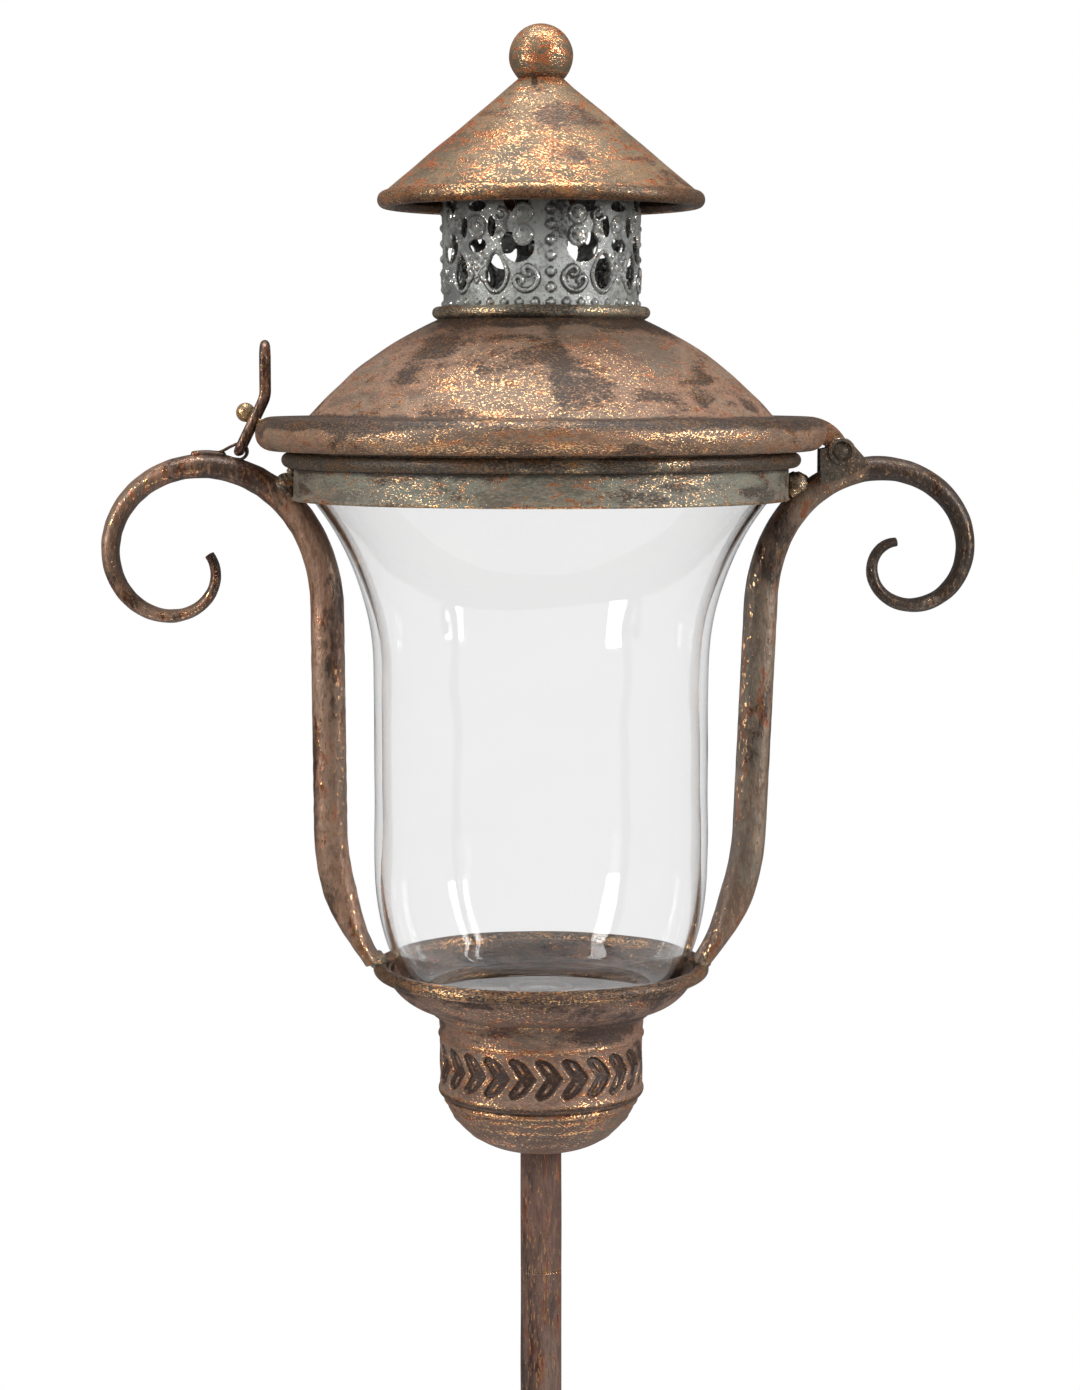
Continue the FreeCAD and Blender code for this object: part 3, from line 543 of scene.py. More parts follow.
def chimney_band(material):
    """Pierced and embossed strip, rolled into a tube. Grid points near an opening are drawn to its edge."""
    columns, rows = 528, 150
    cell = TAU * BAND_R / columns
    around = np.arange(columns) * cell
    heights = np.linspace(BAND_FOOT, BAND_TOP, rows)
    u, h = np.meshgrid(around, heights, indexing="ij")

    def local(value):
        return (value + UNIT) % (2 * UNIT) - UNIT

    gap = band_openings(local(u), h)
    step = 0.05
    slope_u = (band_openings(local(u + step), h) - band_openings(local(u - step), h)) / (2 * step)
    slope_h = (band_openings(local(u), h + step) - band_openings(local(u), h - step)) / (2 * step)
    size = np.maximum(np.hypot(slope_u, slope_h), 1e-6)
    near = np.abs(gap) < 0.62 * cell
    farthest = 0.6 * cell
    u = u - np.where(near, gap * slope_u / size ** 2, 0).clip(-farthest, farthest)
    h = h - np.where(near, gap * slope_h / size ** 2, 0).clip(-farthest, farthest)
    rise = band_relief(local(u), h)
    turn = STRAP_TURN + u / BAND_R
    barrel = 0.35 * np.sin(math.pi * (h - BAND_FOOT) / (BAND_TOP - BAND_FOOT))
    barrel = barrel + waves(turn, h, 5, 0.1, 7, 40)
    layers = []
    for inset in (0.0, BAND_WALL):
        radius = BAND_R - 0.35 - inset + barrel + rise
        layers.append(np.stack([radius * np.cos(turn), radius * np.sin(turn), h], -1).reshape(-1, 3))

    inside = ((gap < 0) & ~near).ravel().tolist()
    on_edge = (near & (gap < 0.02 * cell)).ravel().tolist()
    total = columns * rows
    faces = []
    rims = {}
    for i in range(columns):
        j = (i + 1) % columns
        for k in range(rows - 1):
            corners = (i * rows + k, j * rows + k, j * rows + k + 1, i * rows + k + 1)
            if any(inside[c] for c in corners) or all(on_edge[c] for c in corners):
                continue
            faces.append(corners)
            faces.append(tuple(total + c for c in corners[::-1]))
            for a, b in zip(corners, corners[1:] + corners[:1]):
                if (b, a) in rims:
                    del rims[(b, a)]
                else:
                    rims[(a, b)] = True
    faces += [(b, a, total + a, total + b) for a, b in rims]

    def shade_and_soot(theta, r, height):
        """Painted shade round every rib and stud, most towards the foot, and on the strip's inside."""
        spot = local((theta - STRAP_TURN) % TAU * BAND_R)
        beside = ((0.6, 0), (-0.6, 0), (0, 0.6), (0, -0.6))
        highest = np.maximum.reduce([band_relief(spot + a, height + b) for a, b in beside])
        low = np.clip((264.0 - height) / 12.0, 0.45, 1.0)
        return 1.4 * low * (highest - band_relief(spot, height)) + 0.5 * (r < BAND_R - 0.75)

    shape = np.concatenate(layers), faces
    piece("chimney_strip", shape, "lid", material, ["chimney_band"], 50, shade_and_soot)


def chimney_base_ring(material):
    """Half-round ring that holds the strip's foot on the dome."""
    section = arc(29.4, 242.0, 1.7, -60, 130, 20) + [(28.05, 243.4), (28.05, 239.4), (29.2, 239.9)]
    shape = turned(section, 192, lambda t, r, h: waves(t, h, 21, 0.06, 6, 30))
    piece("chimney_foot_ring", shape, "lid", material, ["chimney_base_ring"])


# --- lid, collar and glass ---
BRIM_R, BRIM_H, BRIM = 76.6, 207.85, 4.8
LID_BORE, CROWN_R = 69.9, 28.2
COLLAR_BORE, COLLAR_FOOT = 69.7, 189.0
BEAD_R, BEAD_H, BEAD = 71.9, 200.4, 2.15
# The glass's half section: straight body, belly and heel below it, flare above it.
GLASS_R, GLASS_FOOT, GLASS_WALL, GLASS_FLOOR = 48.1, 43.3, 2.2, 5.0
BELLY_H, FLARE_H, GLASS_RIM_H = 82.0, 139.6, 192.9
BELLY, FLARE, HEEL = 66.0, 79.5, 12.0
DISH_FLOOR, DISH_SHEET = 42.2, 1.0
RING_R, RING_H, RING_WIRE = 46.7, 53.2, 2.0


def circle_through(a, b, c):
    """Centre and radius of the circle through three points of the half section."""
    matrix = 2 * np.array([[b[0] - a[0], b[1] - a[1]], [c[0] - a[0], c[1] - a[1]]])
    right = np.array([p[0] ** 2 + p[1] ** 2 - a[0] ** 2 - a[1] ** 2 for p in (b, c)])
    centre = np.linalg.solve(matrix, right)
    return float(centre[0]), float(centre[1]), math.dist(centre, a)


def arc_via(a, b, c, count):
    """Arc from a to c through b."""
    x, y, radius = circle_through(a, b, c)
    angles = [math.degrees(math.atan2(p[1] - y, p[0] - x)) for p in (a, b, c)]
    start, middle, stop = angles
    if (stop - start) % 360 < (middle - start) % 360:
        stop = start - (start - stop) % 360
    else:
        stop = start + (stop - start) % 360
    return arc(x, y, radius, start, stop, count)


def lid_dome(material):
    """Dome, a small cove where it meets the shelf, the half-round brim and its return over the collar."""
    top = BRIM_H + BRIM
    wall = 1.0
    dome = arc_via((CROWN_R, 240.6), (50.9, 227.3), (65.6, top + 0.7), 60)
    cove = [(66.0, top + 0.25), (66.6, top + 0.02)]
    brim = line((67.5, top), (BRIM_R, top), 2.0) + arc(BRIM_R, BRIM_H, BRIM, 88, -90, 40)
    under = line((BRIM_R - 0.5, BRIM_H - BRIM), (LID_BORE, BRIM_H - BRIM), 2.0)
    inside = [(LID_BORE, BRIM_H - BRIM + wall)] + arc(BRIM_R, BRIM_H, BRIM - wall, -90, 90, 24)
    ceiling = [(65.6, top - wall)] + arc_via((64.9, top), (50.2, 226.3), (CROWN_R, 239.2), 30)
    section = dome + cove + brim + under + inside + ceiling
    shape = turned(section, 320, lambda t, r, h: waves(t, h, 31, 0.13, 12, 26))

    def shade_and_soot(theta, r, h):
        """Darker on the shelf; painted shade round the crown, under the roof; and a painted dark reflection
        down a streak in line with the front strap.
        """
        shelf = np.clip((r - 65.5) / 1.5, 0, 1) * np.clip((h - BRIM_H - 0.6) / 2.4, 0, 1)
        crown = np.clip(1 - (r - 31) / 12, 0, 1) * (h > 225)
        streak = np.exp(-((theta - STRAP_TURN) * r / 2.4) ** 2) * (r > 28) * (h > top)
        return 0.75 * shelf + 0.6 * crown + 0.4 * streak

    piece("lid_shell", shape, "lid", material, ["lid_dome"], soot_and_shade=shade_and_soot)


def collar(material):
    """Collar with a beaded top edge and a fine turned lip at its foot."""
    bead = arc(BEAD_R, BEAD_H, BEAD, -125, 175, 30)
    bore = [(COLLAR_BORE, 201.2), (COLLAR_BORE, COLLAR_FOOT + 0.4), (70.0, COLLAR_FOOT)]
    lip = [(70.9, COLLAR_FOOT), (71.1, COLLAR_FOOT + 0.4), (70.75, COLLAR_FOOT + 1)]
    section = bead + bore + lip + line((70.7, 190.6), (70.6, 198.2), 1.5)
    shape = turned(section, 320, lambda t, r, h: waves(t, h, 41, 0.12, 10, 34))

    # Painted shade on the bead and just below it, close under the lid's brim.
    def shade_and_soot(theta, r, h):
        return 0.65 * np.clip((h - 197.6) / 0.8, 0, 1)

    piece("collar_shell", shape, "frame", material, ["collar_band"], soot_and_shade=shade_and_soot)


def glass_profile(wall, foot):
    """Line from the heel up to the mouth, wall inside the glass's outer face and standing on foot."""
    belly, flare, heel = BELLY - wall, FLARE + wall, HEEL - wall
    drop_h = BELLY_H - foot - heel
    heel_r = GLASS_R - BELLY + math.sqrt((belly - heel) ** 2 - drop_h ** 2)
    drop = math.degrees(math.asin(-drop_h / (belly - heel)))
    rise = math.degrees(math.asin((GLASS_RIM_H - FLARE_H) / flare))
    points = arc(heel_r, foot + heel, heel, -90, drop, 14) + arc(GLASS_R - BELLY, BELLY_H, belly, drop, 0, 26)
    points += line((GLASS_R - wall, BELLY_H), (GLASS_R - wall, FLARE_H), 2.5)
    return points + arc(GLASS_R + FLARE, FLARE_H, flare, 180, 180 - rise, 30)


def glass_shade(material):
    """Blown glass: thick foot with a punt, straight body, flared and fire-polished mouth."""
    punt = [(r, GLASS_FOOT + up) for r, up in ((0, 2.9), (7.0, 2.8), (8.2, 1.6), (8.9, 0.2), (10, 0))]
    outer = punt + glass_profile(0, GLASS_FOOT)
    floor_h = GLASS_FOOT + GLASS_FLOOR
    inner = glass_profile(GLASS_WALL, floor_h)[::-1] + [(0, floor_h)]
    crest = ((outer[-1][0] + inner[0][0]) / 2 + 0.3, outer[-1][1] + 0.9)
    lip = arc_via(outer[-1], crest, inner[0], 6)[1:-1]
    shape = turned(outer + lip + inner, 224, lambda t, r, h: waves(t, h, 51, 0.09, 8, 60))
    piece("hurricane_glass", shape, "frame", material, ["glass_shade"], 60)


def dish(material):
    """Spun dish with a screw hole in its flat floor and a rounded edge."""
    low, high = DISH_FLOOR, DISH_FLOOR + DISH_SHEET
    wall_in = arc_via((33.5, high), (40.0, 46.6), (43.6, 51.6), 16)
    wall_out = arc_via((44.6, 51.2), (40.8, 45.9), (34.0, low), 16)
    section = [(3.3, low), (3.3, high)] + line((6, high), (32.5, high), 3) + wall_in
    section += [(43.7, 53.2), (44.1, 53.5), (44.6, 53.3)] + wall_out + line((32, low), (5, low), 4)
    shape = turned(section, 224, lambda t, r, h: waves(t, h, 61, 0.08, 8, 30) * (r > 20))
    piece("dish_shell", shape, "frame", material, ["dish"])


def base_ring(material):
    """Wire ring round the dish, which the arms stand on."""
    section = arc(RING_R, RING_H, RING_WIRE, 0, 360, 28)[:-1]
    shape = turned(section, 256, lambda t, r, h: waves(t, h * 0, 62, 0.1, 8, 30))
    piece("dish_ring", shape, "frame", material, ["base_ring"])


# --- cup and pole ---
CUP_R = 29.5
CHEVRONS, CHEVRON_LOW, CHEVRON_HIGH = 24, 20.3, 32.2
TUBE_WALL, TUBE_EDGE = 1.2, 0.35


def chevron_groove(theta, h):
    """Depth from 0 to 1 of the pressed chevrons, which point to the right, and of the ridges in them."""
    pitch = TAU / CHEVRONS
    middle = (CHEVRON_LOW + CHEVRON_HIGH) / 2
    half = (CHEVRON_HIGH - CHEVRON_LOW) / 2
    lean = np.abs(h - middle) / half
    along = ((theta + pitch * 0.55 * lean) % pitch) / pitch
    across = np.abs(along - 0.5) * pitch * CUP_R
    ends = np.sqrt(np.clip(1 - np.clip((lean - 0.62) / 0.38, 0, 1) ** 2, 0, 1))
    groove = np.clip((3.0 * ends - across) / 0.75, 0, 1)
    groove = groove * groove * (3 - 2 * groove)
    ridge = np.clip(1 - (across / 0.7) ** 2, 0, 1) * np.clip(1 - ((lean - 0.5) / 0.28) ** 2, 0, 1)
    return groove, ridge


def chevron_relief(theta, r, h):
    """How far the chevron band stands out, in mm."""
    groove, ridge = chevron_groove(theta, h)
    return (r > 29.0) * (-0.95 * groove + 0.5 * ridge)


def cup(material):
    """Spun cup: flared neck, beads, the chevron band, and a stepped bowl closing on the pole."""
    hole = POLE_R + 0.05
    outer = [(33.0, DISH_FLOOR), (32.4, 41.2)] + arc_via((31.6, 40.4), (30.1, 39.0), (29.7, 37.2), 8)
    outer += [(29.6, 36.4), (29.5, 35.4)] + arc(29.0, 34.2, 0.95, 50, -50, 8) + [(CUP_R, 33.2)]
    outer += line((CUP_R, 33.0), (CUP_R, 19.6), 0.3)
    outer += [(29.55, 19.2)] + arc(28.2, 17.9, 1.75, 35, -75, 12)
    outer += [(28.3, 15.9)] + arc(27.4, 14.9, 0.9, 60, -70, 8)
    outer += [(27.1, 13.6)] + arc_via((27.0, 12.6), (20.6, 4.9), (hole, 0.0), 40)
    reach = 0.9
    for k, (r, h) in enumerate(outer):
        for level, swell in ((9.6, 0.35), (4.6, 0.3)):
            if abs(h - level) < reach:
                outer[k] = (r + swell * (1 - abs(h - level) / reach), h)
    inner = arc_via((hole, 1.2), (18.6, 5.9), (24.9, 12.0), 16)
    inner += [(27.4, 17.4), (27.9, 19.4), (27.9, 33.0), (28.2, 37.1), (29.6, 40.4), (31.6, DISH_FLOOR)]

    def relief(theta, r, h):
        return chevron_relief(theta, r, h) + waves(theta, h, 71, 0.07, 8, 24)

    def shade_and_soot(theta, r, h):
        """Dark paint in the chevrons beside their ridges, and painted shade in the step under their band."""
        groove, ridge = chevron_groove(theta, h)
        under_band = np.clip(1 - np.abs(h - 16.9) / 1.7, 0, 1)
        return (0.85 * groove * (1 - ridge) + 0.9 * under_band) * (r > 26)

    shape = turned(outer + inner, 768, relief)
    piece("cup_shell", shape, "frame", material, ["cup"], 50, shade_and_soot)


def pole(name, low, high, material, node_name, seed):
    """Length of tube, its ends slightly rounded."""
    bore, edge_r = POLE_R - TUBE_WALL, POLE_R - TUBE_EDGE
    section = [(bore, low), (edge_r, low)] + arc(edge_r, low + TUBE_EDGE, TUBE_EDGE, -60, 0, 4)
    section += line((POLE_R, low + 1), (POLE_R, high - 1), 4.0)
    section += arc(edge_r, high - TUBE_EDGE, TUBE_EDGE, 0, 90, 4) + [(bore, high)]
    shape = turned(section, 72, lambda t, r, h: waves(t, h, seed, 0.05, 8, 90))
    piece(name, shape, "frame", material, [node_name])


# --- arms ---
# Each arm's centre line, drawn on the +X side: a bend from the ring up, a straight, a shoulder turned
# outwards and a scroll whose radius shrinks with every quarter turn.
BEND_R = 70.0
SHOULDER_R, SHOULDER_TURN = 50.0, 20.0
LEFT_ARM = dict(start=(48.9, 55.3), heading=56.0, bend=33.5, straight=64.0, full_end=106.0,
                scroll_r=40.0, shrink=0.70, turn=375.0)
RIGHT_ARM = dict(start=(46.2, 54.7), heading=53.0, bend=34.5, straight=66.0, full_end=108.0,
                 scroll_r=38.0, shrink=0.68, turn=425.0)
BAR, FLAT_THICKNESS, FLAT_WIDTH, FLAT_RUN, TIP_THICKNESS = 9.7, 5.0, 13.0, 25.0, 2.6


def arm_line(plan, step=1.1):
    """Closely spaced centre-line points and the distance of each along the arm."""
    decay = math.log(plan["shrink"])
    scroll_length = plan["scroll_r"] * (1 - plan["shrink"] ** (plan["turn"] / 90)) / -decay * math.pi / 2
    bend_length = BEND_R * math.radians(plan["bend"])
    shoulder_length = SHOULDER_R * math.radians(SHOULDER_TURN)
    total = bend_length + plan["straight"] + shoulder_length + scroll_length
    gone = np.linspace(0, total, math.ceil(total / step))
    bend = np.clip(gone / bend_length, 0, 1) * plan["bend"]
    shoulder = np.clip((gone - bend_length - plan["straight"]) / shoulder_length, 0, 1) * SHOULDER_TURN
    wound = np.clip(gone - (total - scroll_length), 0, scroll_length) * decay * 2 / math.pi
    scroll = 90 * np.log1p(wound / plan["scroll_r"]) / decay
    heading = np.radians(plan["heading"] + bend - shoulder - scroll)
    half_way = (heading[1:] + heading[:-1]) / 2
    span = np.diff(gone)
    x = plan["start"][0] + np.concatenate([[0], np.cumsum(span * np.cos(half_way))])
    h = plan["start"][1] + np.concatenate([[0], np.cumsum(span * np.sin(half_way))])
    return np.stack([x, h], -1), gone


def arm(name, plan, side, material, node_name, seed):
    """Forged bar: flat where it is welded to the ring, round along its length, tapering into the scroll."""
    path, gone = arm_line(plan)
    low = np.clip(gone / FLAT_RUN, 0, 1)
    low = low * low * (3 - 2 * low)
    high = np.clip((gone - plan["full_end"]) / (gone[-1] - plan["full_end"]), 0, 1)
    depth = BAR - (BAR - FLAT_THICKNESS) * (1 - low) - (BAR - TIP_THICKNESS) * high
    width = BAR + (FLAT_WIDTH - BAR) * (1 - low) + 10 * high - 11 * high ** 2
    uneven = waves(gone * 0.11, gone, seed, 0.12, 8, 30)
    line_3d = np.stack([side * path[:, 0], np.zeros(len(path)), path[:, 1]], -1)
    shape = tube(line_3d, np.maximum(width, depth) + uneven, depth + uneven * 0.6, 40,
                 side=(0, 1, 0), power=2.15, dome=0.25)
    piece(name, shape, "frame", material, [node_name], 60)


def welds(material):
    """Weld metal where the arms meet the ring and the collar."""
    ring, tie, web = (2.6, 6.6, 2.4), 4.2, (2.2, 4.0, 4.4)
    spots = [("weld_ring_left", (-47.6, 0, 55.4), ring, ()),
             ("weld_ring_right", (46.9, 0, 55.2), ring, ()),
             ("weld_collar_left", (-73.2, -1.6, 192.9), (3.3, tie, 3.5), ("collar_tie_left",)),
             ("weld_collar_right", (73.4, -1.6, 193.4), (3.2, tie, 3.5), ("collar_tie_right",)),
             ("weld_web_left", (-71.7, -1.2, 192.0), web, ()),
             ("weld_web_right", (71.9, -1.2, 192.4), web, ()),
             ("weld_drip_left", (-71.4, -1.8, 197.0), (1.2, 1.3, 1.4), ())]
    for seed, (name, centre, radii, replaced) in enumerate(spots, 80):
        piece(name, lump(centre, radii, seed), "frame", material, replaced, 80)


# --- latch and hinge ---
WIRE = 2.6
BAIL_HALF, BAIL_TOP, BAIL_BEND = 4.3, 234.4, (-78.7, 218.3)
CHEEK_IN, CHEEK_OUT = 3.0, 6.4


def rounded_route(corners, radii, step=0.6, longest=1.5):
    """Points along straight runs with an arc of the given radius at each inner corner."""
    corners = [np.asarray(c, float) for c in corners]
    route = [corners[0]]
    for k, radius in enumerate(radii, 1):
        back = corners[k - 1] - corners[k]
        on = corners[k + 1] - corners[k]
        back, on = back / np.linalg.norm(back), on / np.linalg.norm(on)
        half = math.acos(float(np.clip(np.dot(back, on), -1, 1))) / 2
        reach = radius / math.tan(half)
        middle = back + on
        centre = corners[k] + middle / np.linalg.norm(middle) * radius / math.sin(half)
        first = corners[k] + back * reach - centre
        last = corners[k] + on * reach - centre
        turn = math.pi - 2 * half
        count = max(4, math.ceil(radius * turn / step))
        for c in range(count + 1):
            t = turn * c / count
            route.append(centre + (first * math.sin(turn - t) + last * math.sin(t)) / math.sin(turn))
    route.append(corners[-1])
    dense = [route[0]]
    for point in route[1:]:
        count = max(1, round(np.linalg.norm(point - dense[-1]) / longest))
        for c in range(count):
            dense.append(dense[-1] + (point - dense[-1]) / (count - c))
    return np.array(dense)


def latch_bail(material):
    """Wire loop: cross bar in the bracket's eye, legs either side of the stud, closed round top."""
    shoulder = BAIL_TOP - WIRE / 2
    bend_x, bend_h = BAIL_BEND
    corners = [(LATCH_X, 0, LATCH_H), (LATCH_X, -BAIL_HALF, LATCH_H), (bend_x, -BAIL_HALF, bend_h),
               (bend_x, -BAIL_HALF, shoulder), (bend_x, 0, shoulder)]
    half = rounded_route(corners, [1.9, 8.0, BAIL_HALF - 0.2])
    other = half[::-1] * np.array([1, -1, 1])
    closed = np.concatenate([half, other[1:-1], half[:1]])
    shape = tube(closed, WIRE, WIRE, 24)
    piece("bail_wire", shape, "latch", material, ["latch_bail"], 60)


def latch_stud(material):
    """Ball on a neck that narrows to the brim, in one turned piece, laid over outwards."""
    rise = math.radians(37.6)
    section = [(0, -0.2), (1.25, -0.2)] + arc_via((1.15, 0.4), (1.35, 1.6), (2.05, 3.0), 8)[1:]
    section += arc(0, 5.0, 2.75, -36, 90, 24)
    points, faces = turned(section, 48)
    out = np.array([-math.cos(rise), 0, math.sin(rise)])
    across = np.array([math.sin(rise), 0, math.cos(rise)])
    base = np.array([-BRIM_R, 0, BRIM_H]) + out * (BRIM - 0.02)
    placed = base + points[:, :1] * across + points[:, 1:2] * np.array([0, 1, 0]) + points[:, 2:] * out
    piece("ball_stud", (placed, faces), "lid", material, ["latch_stud"])


def strap_of(path, width, thick, power=5.0):
    """Flat strip along path, its width along Y."""
    return tube(path, width, thick, 32, (0, 1, 0), power)


def latch_bracket(material):
    """Strip on the arm's scroll whose end is bent back round into a drop-shaped eye."""
    wall, width = 0.8, 4.9
    middle = 2.25
    low = LATCH_H - middle
    loop = [(LATCH_X - 6.4, LATCH_H - 0.5), (LATCH_X - 4.4, LATCH_H + 0.3), (LATCH_X - 2.6, LATCH_H + 1.3)]
    loop += [(LATCH_X - 0.9 + x, LATCH_H + h) for x, h in arc(0.9, 0, middle, 118, -88, 22)]
    loop += [(LATCH_X - 1.6, low + 0.15), (LATCH_X - 4.0, low + 0.9), (LATCH_X - 6.4, low + 1.5)]
    eye = strap_of([(x, 0, h) for x, h in loop], width, wall)
    tail_line = ((4.6, 1.2), (6.6, 0.9), (9.0, 0.7), (11.0, 0.75), (13.0, 0.95))
    tail = strap_of([(LATCH_X - out, 0, LATCH_H - down) for out, down in tail_line], width + 0.9, 2.2, 3.0)
    piece("latch_eye_strip", joined(eye, tail), "frame", material, ["latch_bracket"], 45)


def hinge(material):
    """Two cheeks with ring knuckles, and the pin's domed ends inside them."""
    outline = [(-5.9, 0.6), (-3.7, 1.0), (-3.6, -1.6), (-2.2, -3.2), (0, -3.85), (2.2, -3.2), (3.6, -1.6),
               (3.4, 1.8), (6.2, -1.3), (7.6, -3.6), (5.5, -5.2), (0, -7.6), (-5.9, -9.5)]
    knuckle = [(3.95, CHEEK_IN), (3.95, CHEEK_OUT - 0.3), (3.7, CHEEK_OUT), (3.0, CHEEK_OUT),
               (2.85, CHEEK_OUT - 0.2), (2.8, CHEEK_IN + 2.3), (1.6, CHEEK_IN + 2.3), (1.6, CHEEK_IN)]
    circle = arc(0, 0, 1, 0, 360, 40)[:-1]
    parts = []
    for side in (-1, 1):
        points = [(HINGE_X + c * radius, side * y, HINGE_H + s * radius)
                  for radius, y in knuckle for c, s in circle]
        parts.append((np.array(points), grid_faces(len(knuckle), len(circle), closed=True)))
        flat = [(HINGE_X + x, HINGE_H + h) for x, h in outline]
        parts.append(prism(flat, side * CHEEK_IN, side * (CHEEK_OUT - 0.4)))
    piece("hinge_cheeks", joined(*parts), "frame", material, ["hinge_bracket"], 35)
    head = arc(0, 5.55, 2.0, 90, 10, 8)
    section = [(0, 6.15)] + [(r * 1.2, 5.0 + (h - 5.55) * 0.5) for r, h in head]
    section += [(2.3, 5.0), (1.5, 4.9), (1.5, 0)]
    section += [(r, -h) for r, h in section[::-1]]
    points, faces = turned(section, 40)
    placed = np.stack([HINGE_X + points[:, 0], points[:, 2], HINGE_H + points[:, 1]], -1)
    piece("hinge_pin_headed", (placed, faces), "frame", material, ["hinge_pin"], 50)


def hinge_lug(material):
    """Lug on the brim's shoulder that curves down to an eye round the pin."""
    outer = arc_via((BRIM_R + 0.4, BRIM_H + BRIM - 0.02), (BRIM_R + 6.7, BRIM_H + 2.3),
                    (HINGE_X + 2.0, HINGE_H + 2.2), 24)
    eye = arc(HINGE_X, HINGE_H, 2.9, 40, -195, 30)
    inner = arc(BRIM_R, BRIM_H, BRIM + 0.02, -40, 88, 30)
    inner = [p for p in inner if math.dist(p, (HINGE_X, HINGE_H)) > 3.0]
    half = 2.55
    shape = prism(outer + eye + inner, -half, half)
    made = piece("hinge_lug", shape, "lid", material, ["hinge_strap"], 30)
    soften = made.modifiers.new("edge", "BEVEL")
    soften.width, soften.segments, soften.limit_method = 0.35 * MM, 3, "ANGLE"


# --- finishes and assembly ---
# How the marks are drawn out: round a turned piece, up the pole, along an arm, or not at all.
LEVEL, UPRIGHT, ALONG, EVEN = (1, 1, 2.6), (1.6, 1.6, 0.3), (1, 1, 0.4), (1, 1, 1)
# How each piece's paint has aged: base, shade and rub colours, stretch, then how rubbed, shaded and flaked
# it is, its shift, how smooth it is and how much patina it has. A glint colour and a sheen may follow.
FINISHES = {
    "copper_roof": (OLIVE, rgb(58, 45, 38), COPPER, LEVEL, 1.0, 0.47, 0.76, 0.0, 0.66, 0.15),
    "copper_dome": (TAUPE, SOOT_AND_SHADE, rgb(168, 98, 66), LEVEL, 0.65, 0.6, 0.78, 0.7, 0.6, 0.25),
    "copper_collar": (SAGE, rgb(44, 38, 34), rgb(158, 92, 62), LEVEL, 0.58, 0.7, 0.65, 1.3, 0.6, 0.7),
    "copper_left_arm": (rgb(158, 122, 100), SOOT_AND_SHADE, rgb(178, 106, 74), ALONG, 0.65, 0.86, 0.1, 2.1, 1.1, 0.25,
                        BRIGHT, 0.4),
    "copper_right_arm": (rgb(146, 120, 102), SOOT_AND_SHADE, rgb(156, 94, 68), ALONG, 0.5, 0.95, 0.05, 2.6, 1.05,
                         0.35, BRIGHT, 0.35),
    "copper_hinge": (rgb(84, 70, 60), rgb(30, 26, 24), rgb(120, 92, 70), EVEN, 0.3, 0.8, -0.1, 3.0, 0.9, 0.2),
    "copper_ring": (rgb(80, 60, 52), rgb(32, 24, 22), rgb(164, 86, 56), LEVEL, 0.55, 0.9, 0.7, 5.2, 0.8, 0.1),
    "copper_foot_ring": (rgb(92, 84, 74), rgb(34, 30, 27), rgb(150, 92, 64), LEVEL, 0.2, 0.7, 0.45, 7.1,
                         0.8, 0.5),
    "copper_cup": (rgb(134, 104, 88), rgb(42, 27, 23), rgb(156, 84, 58), LEVEL, 0.68, 0.8, 0.45, 3.4, 0.6,
                   0.2),
    "copper_pole": (rgb(116, 88, 76), rgb(44, 32, 29), rgb(132, 68, 48), UPRIGHT, 0.68, 0.95, 0.2, 4.2, 0.7,
                    0.15),
    "copper_stud": (rgb(120, 104, 78), rgb(50, 40, 30), rgb(170, 110, 66), EVEN, 0.5, 0.4, 0.9, 6.0, 1.2,
                    0.35),
    "pierced_zinc": (rgb(136, 138, 135), rgb(34, 35, 35), rgb(162, 120, 96), EVEN, 0.05, 0.27, 0.15, 0.3,
                     1.1, 0.3, rgb(226, 216, 200)),
}


def build_object():
    """All visual pieces, each in its finish."""
    metal = {name: aged_metal(name, *finish) for name, finish in FINISHES.items()}
    finial_ball(metal["copper_roof"])
    roof(metal["copper_roof"])
    chimney_band(metal["pierced_zinc"])
    chimney_base_ring(metal["copper_foot_ring"])
    lid_dome(metal["copper_dome"])
    collar(metal["copper_collar"])
    glass_shade(glass_material())
    dish(metal["copper_cup"])
    base_ring(metal["copper_ring"])
    cup(metal["copper_cup"])
    tube_metal = metal["copper_pole"]
    pole("pole_stub_tube", STUB_JOINT, DISH_FLOOR - 0.1, tube_metal, "pole_stub", 91)
    pole("pole_upper_tube", POLE_JOINT, STUB_JOINT, tube_metal, "pole_upper", 92)
    pole("pole_lower_tube", GROUND, POLE_JOINT, tube_metal, "pole_lower", 93)
    arm("arm_left_bar", LEFT_ARM, -1, metal["copper_left_arm"], "arm_left", 101)
    arm("arm_right_bar", RIGHT_ARM, 1, metal["copper_right_arm"], "arm_right", 102)
    welds(metal["copper_collar"])
    latch_bail(metal["copper_left_arm"])
    latch_stud(metal["copper_stud"])
    latch_bracket(metal["copper_left_arm"])
    hinge(metal["copper_hinge"])
    hinge_lug(metal["copper_dome"])


def finish_cad_nodes():
    """Materials of the CAD nodes that stay: hidden fasteners, plugs, wires and the spike."""
    steel = plain_steel("dark_steel", rgb(92, 86, 82), rgb(34, 30, 28), 0.5)
    plated = plain_steel("zinc_plate", rgb(200, 198, 190), rgb(120, 118, 112), 0.3)
    bright = ("dish_screw", "dish_washer", "finial_screw")
    for name, made in frame["nodes"].items():
        if made.hide_render:
            continue
        made.data.materials.clear()
        made.data.materials.append(plated if name in bright else steel)


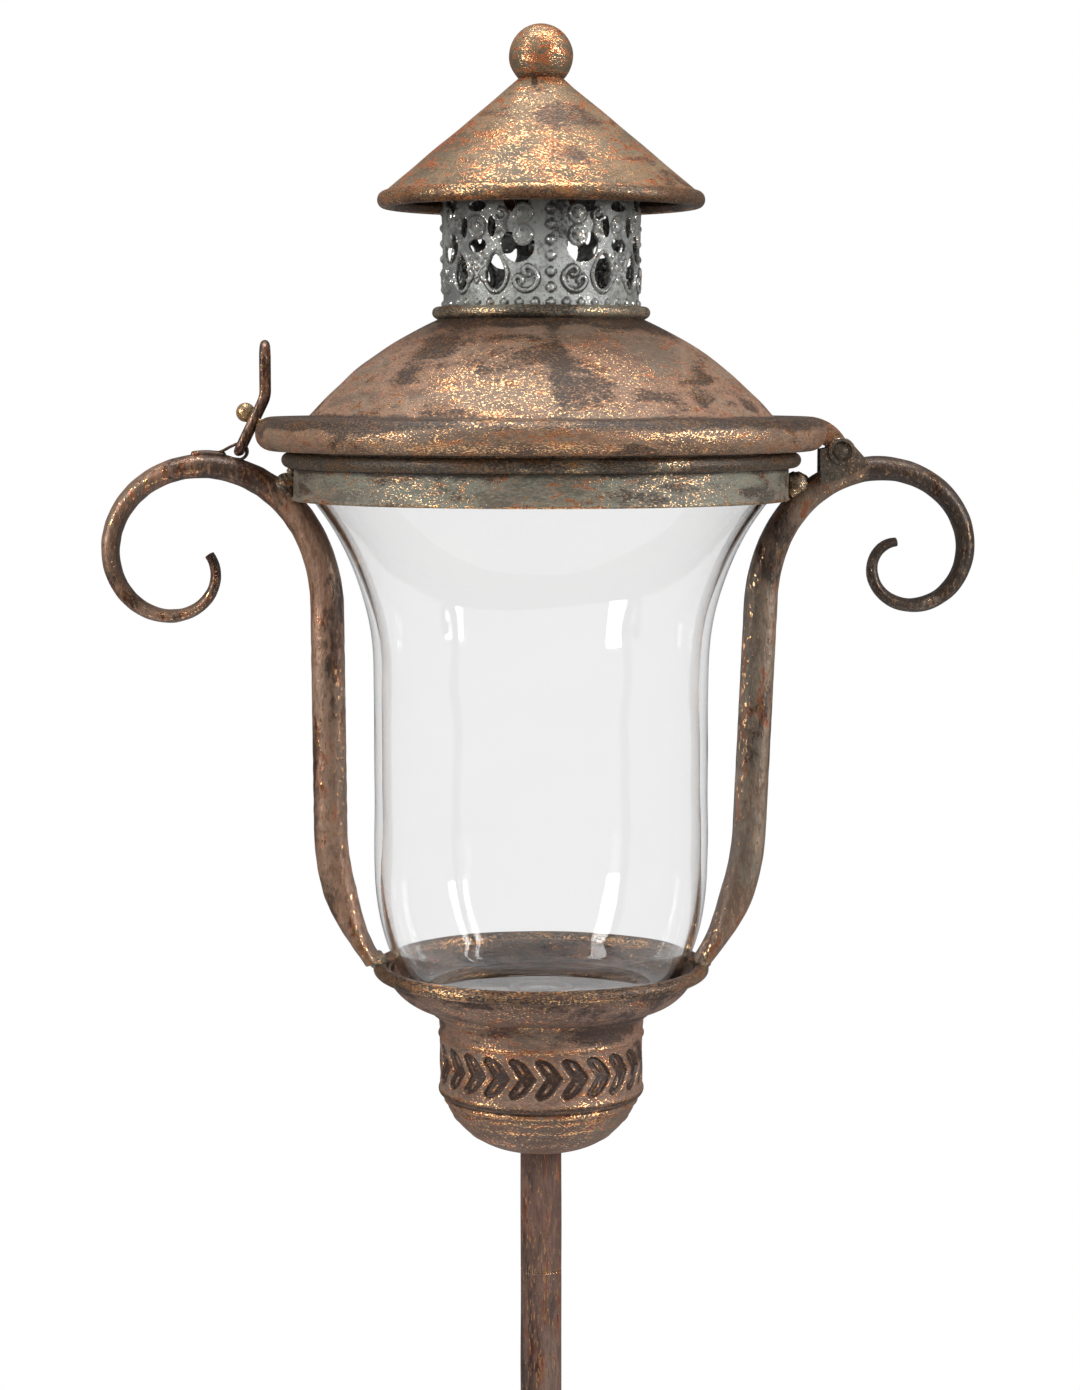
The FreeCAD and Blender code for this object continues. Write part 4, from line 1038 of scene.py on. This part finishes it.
# --- floor, light and camera ---
def floor():
    """Round of pale paper under the spike."""
    radius, level = 0.9, (SPIKE_TIP - 6) * MM + FOOT
    work = bmesh.new()
    bmesh.ops.create_circle(work, cap_ends=True, radius=radius, segments=96)
    mesh = bpy.data.meshes.new("floor")
    work.to_mesh(mesh)
    work.free()
    made = bpy.data.objects.new("floor", mesh)
    made.location.z = level
    material, tree = new_material("floor_paper")
    place = node(tree, "TexCoord").outputs["Object"]
    grain = noise_of(tree, place, 3, 4, 0.6)
    finish_material(tree, blend(tree, grain, rgb(236, 236, 236), rgb(246, 246, 246)), 0.9, 0.0)
    mesh.materials.append(material)
    bpy.context.scene.collection.objects.link(made)


def softbox(name, place, size, power, reflected=True, through_glass=False):
    """Rectangular light aimed at the lantern's middle. The last two say where it shows: as a glint on
    metal, and through the glass."""
    data = bpy.data.lights.new(name, "AREA")
    data.shape = "RECTANGLE"
    data.size, data.size_y = size
    data.energy = power
    made = bpy.data.objects.new(name, data)
    made.location = (place[0], place[1], FOOT + place[2])
    aim = Vector((0, 0, FOOT + 0.22)) - Vector(made.location)
    made.rotation_euler = aim.to_track_quat("-Z", "Y").to_euler()
    made.visible_camera = False
    made.visible_glossy = reflected
    made.visible_transmission = through_glass
    bpy.context.scene.collection.objects.link(made)


def studio():
    """White surroundings that light the lantern as a dim grey tent, and five soft lights."""
    world = bpy.data.worlds.new("studio")
    bpy.context.scene.world = world
    world.use_nodes = True
    tree = world.node_tree
    tree.nodes.clear()
    path = node(tree, "LightPath")
    seen = maths(tree, "MAXIMUM", path.outputs["Is Camera Ray"], path.outputs["Is Transmission Ray"])
    direction = node(tree, "SeparateXYZ", {0: node(tree, "TexCoord").outputs["Generated"]}).outputs["Z"]
    tent = blend(tree, ramp(tree, direction, -0.5, 0.6), (0.20, 0.195, 0.19, 1), (0.13, 0.13, 0.135, 1))
    colour = blend(tree, seen, tent, (1.0, 1.0, 1.0, 1))
    background = node(tree, "Background", {"Color": colour, "Strength": 1.0})
    output = node(tree, "OutputWorld")
    tree.links.new(background.outputs[0], output.inputs["Surface"])
    softbox("over_left", (-0.27, 0.12, 1.5), (0.54, 0.55), 9.5)
    softbox("over_right", (0.34, 0.12, 1.5), (0.46, 0.55), 6.5)
    softbox("front_high", (-0.35, -1.5, 1.25), (0.9, 0.6), 18, reflected=False)
    softbox("side_left", (-1.38, -0.80, 0.68), (0.50, 1.0), 18, through_glass=True)
    softbox("side_right", (1.50, -0.60, 0.68), (0.45, 1.0), 26, through_glass=True)


def camera():
    """Eye level with the dome, tipped down a little, close enough for a short portrait lens."""
    distance, height, tilt, sensor, lens = 889.0, 221.6, 5.71, 36.0, 80.3
    data = bpy.data.cameras.new("camera")
    data.sensor_width, data.lens = sensor, lens
    made = bpy.data.objects.new("camera", data)
    made.location = (-0.3 * MM, -distance * MM, FOOT + height * MM)
    made.rotation_euler = (math.radians(90 - tilt), 0, 0)
    bpy.context.scene.collection.objects.link(made)
    bpy.context.scene.camera = made


build_object()
finish_cad_nodes()
floor()
studio()
camera()
bpy.context.scene.view_settings.view_transform = "Standard"
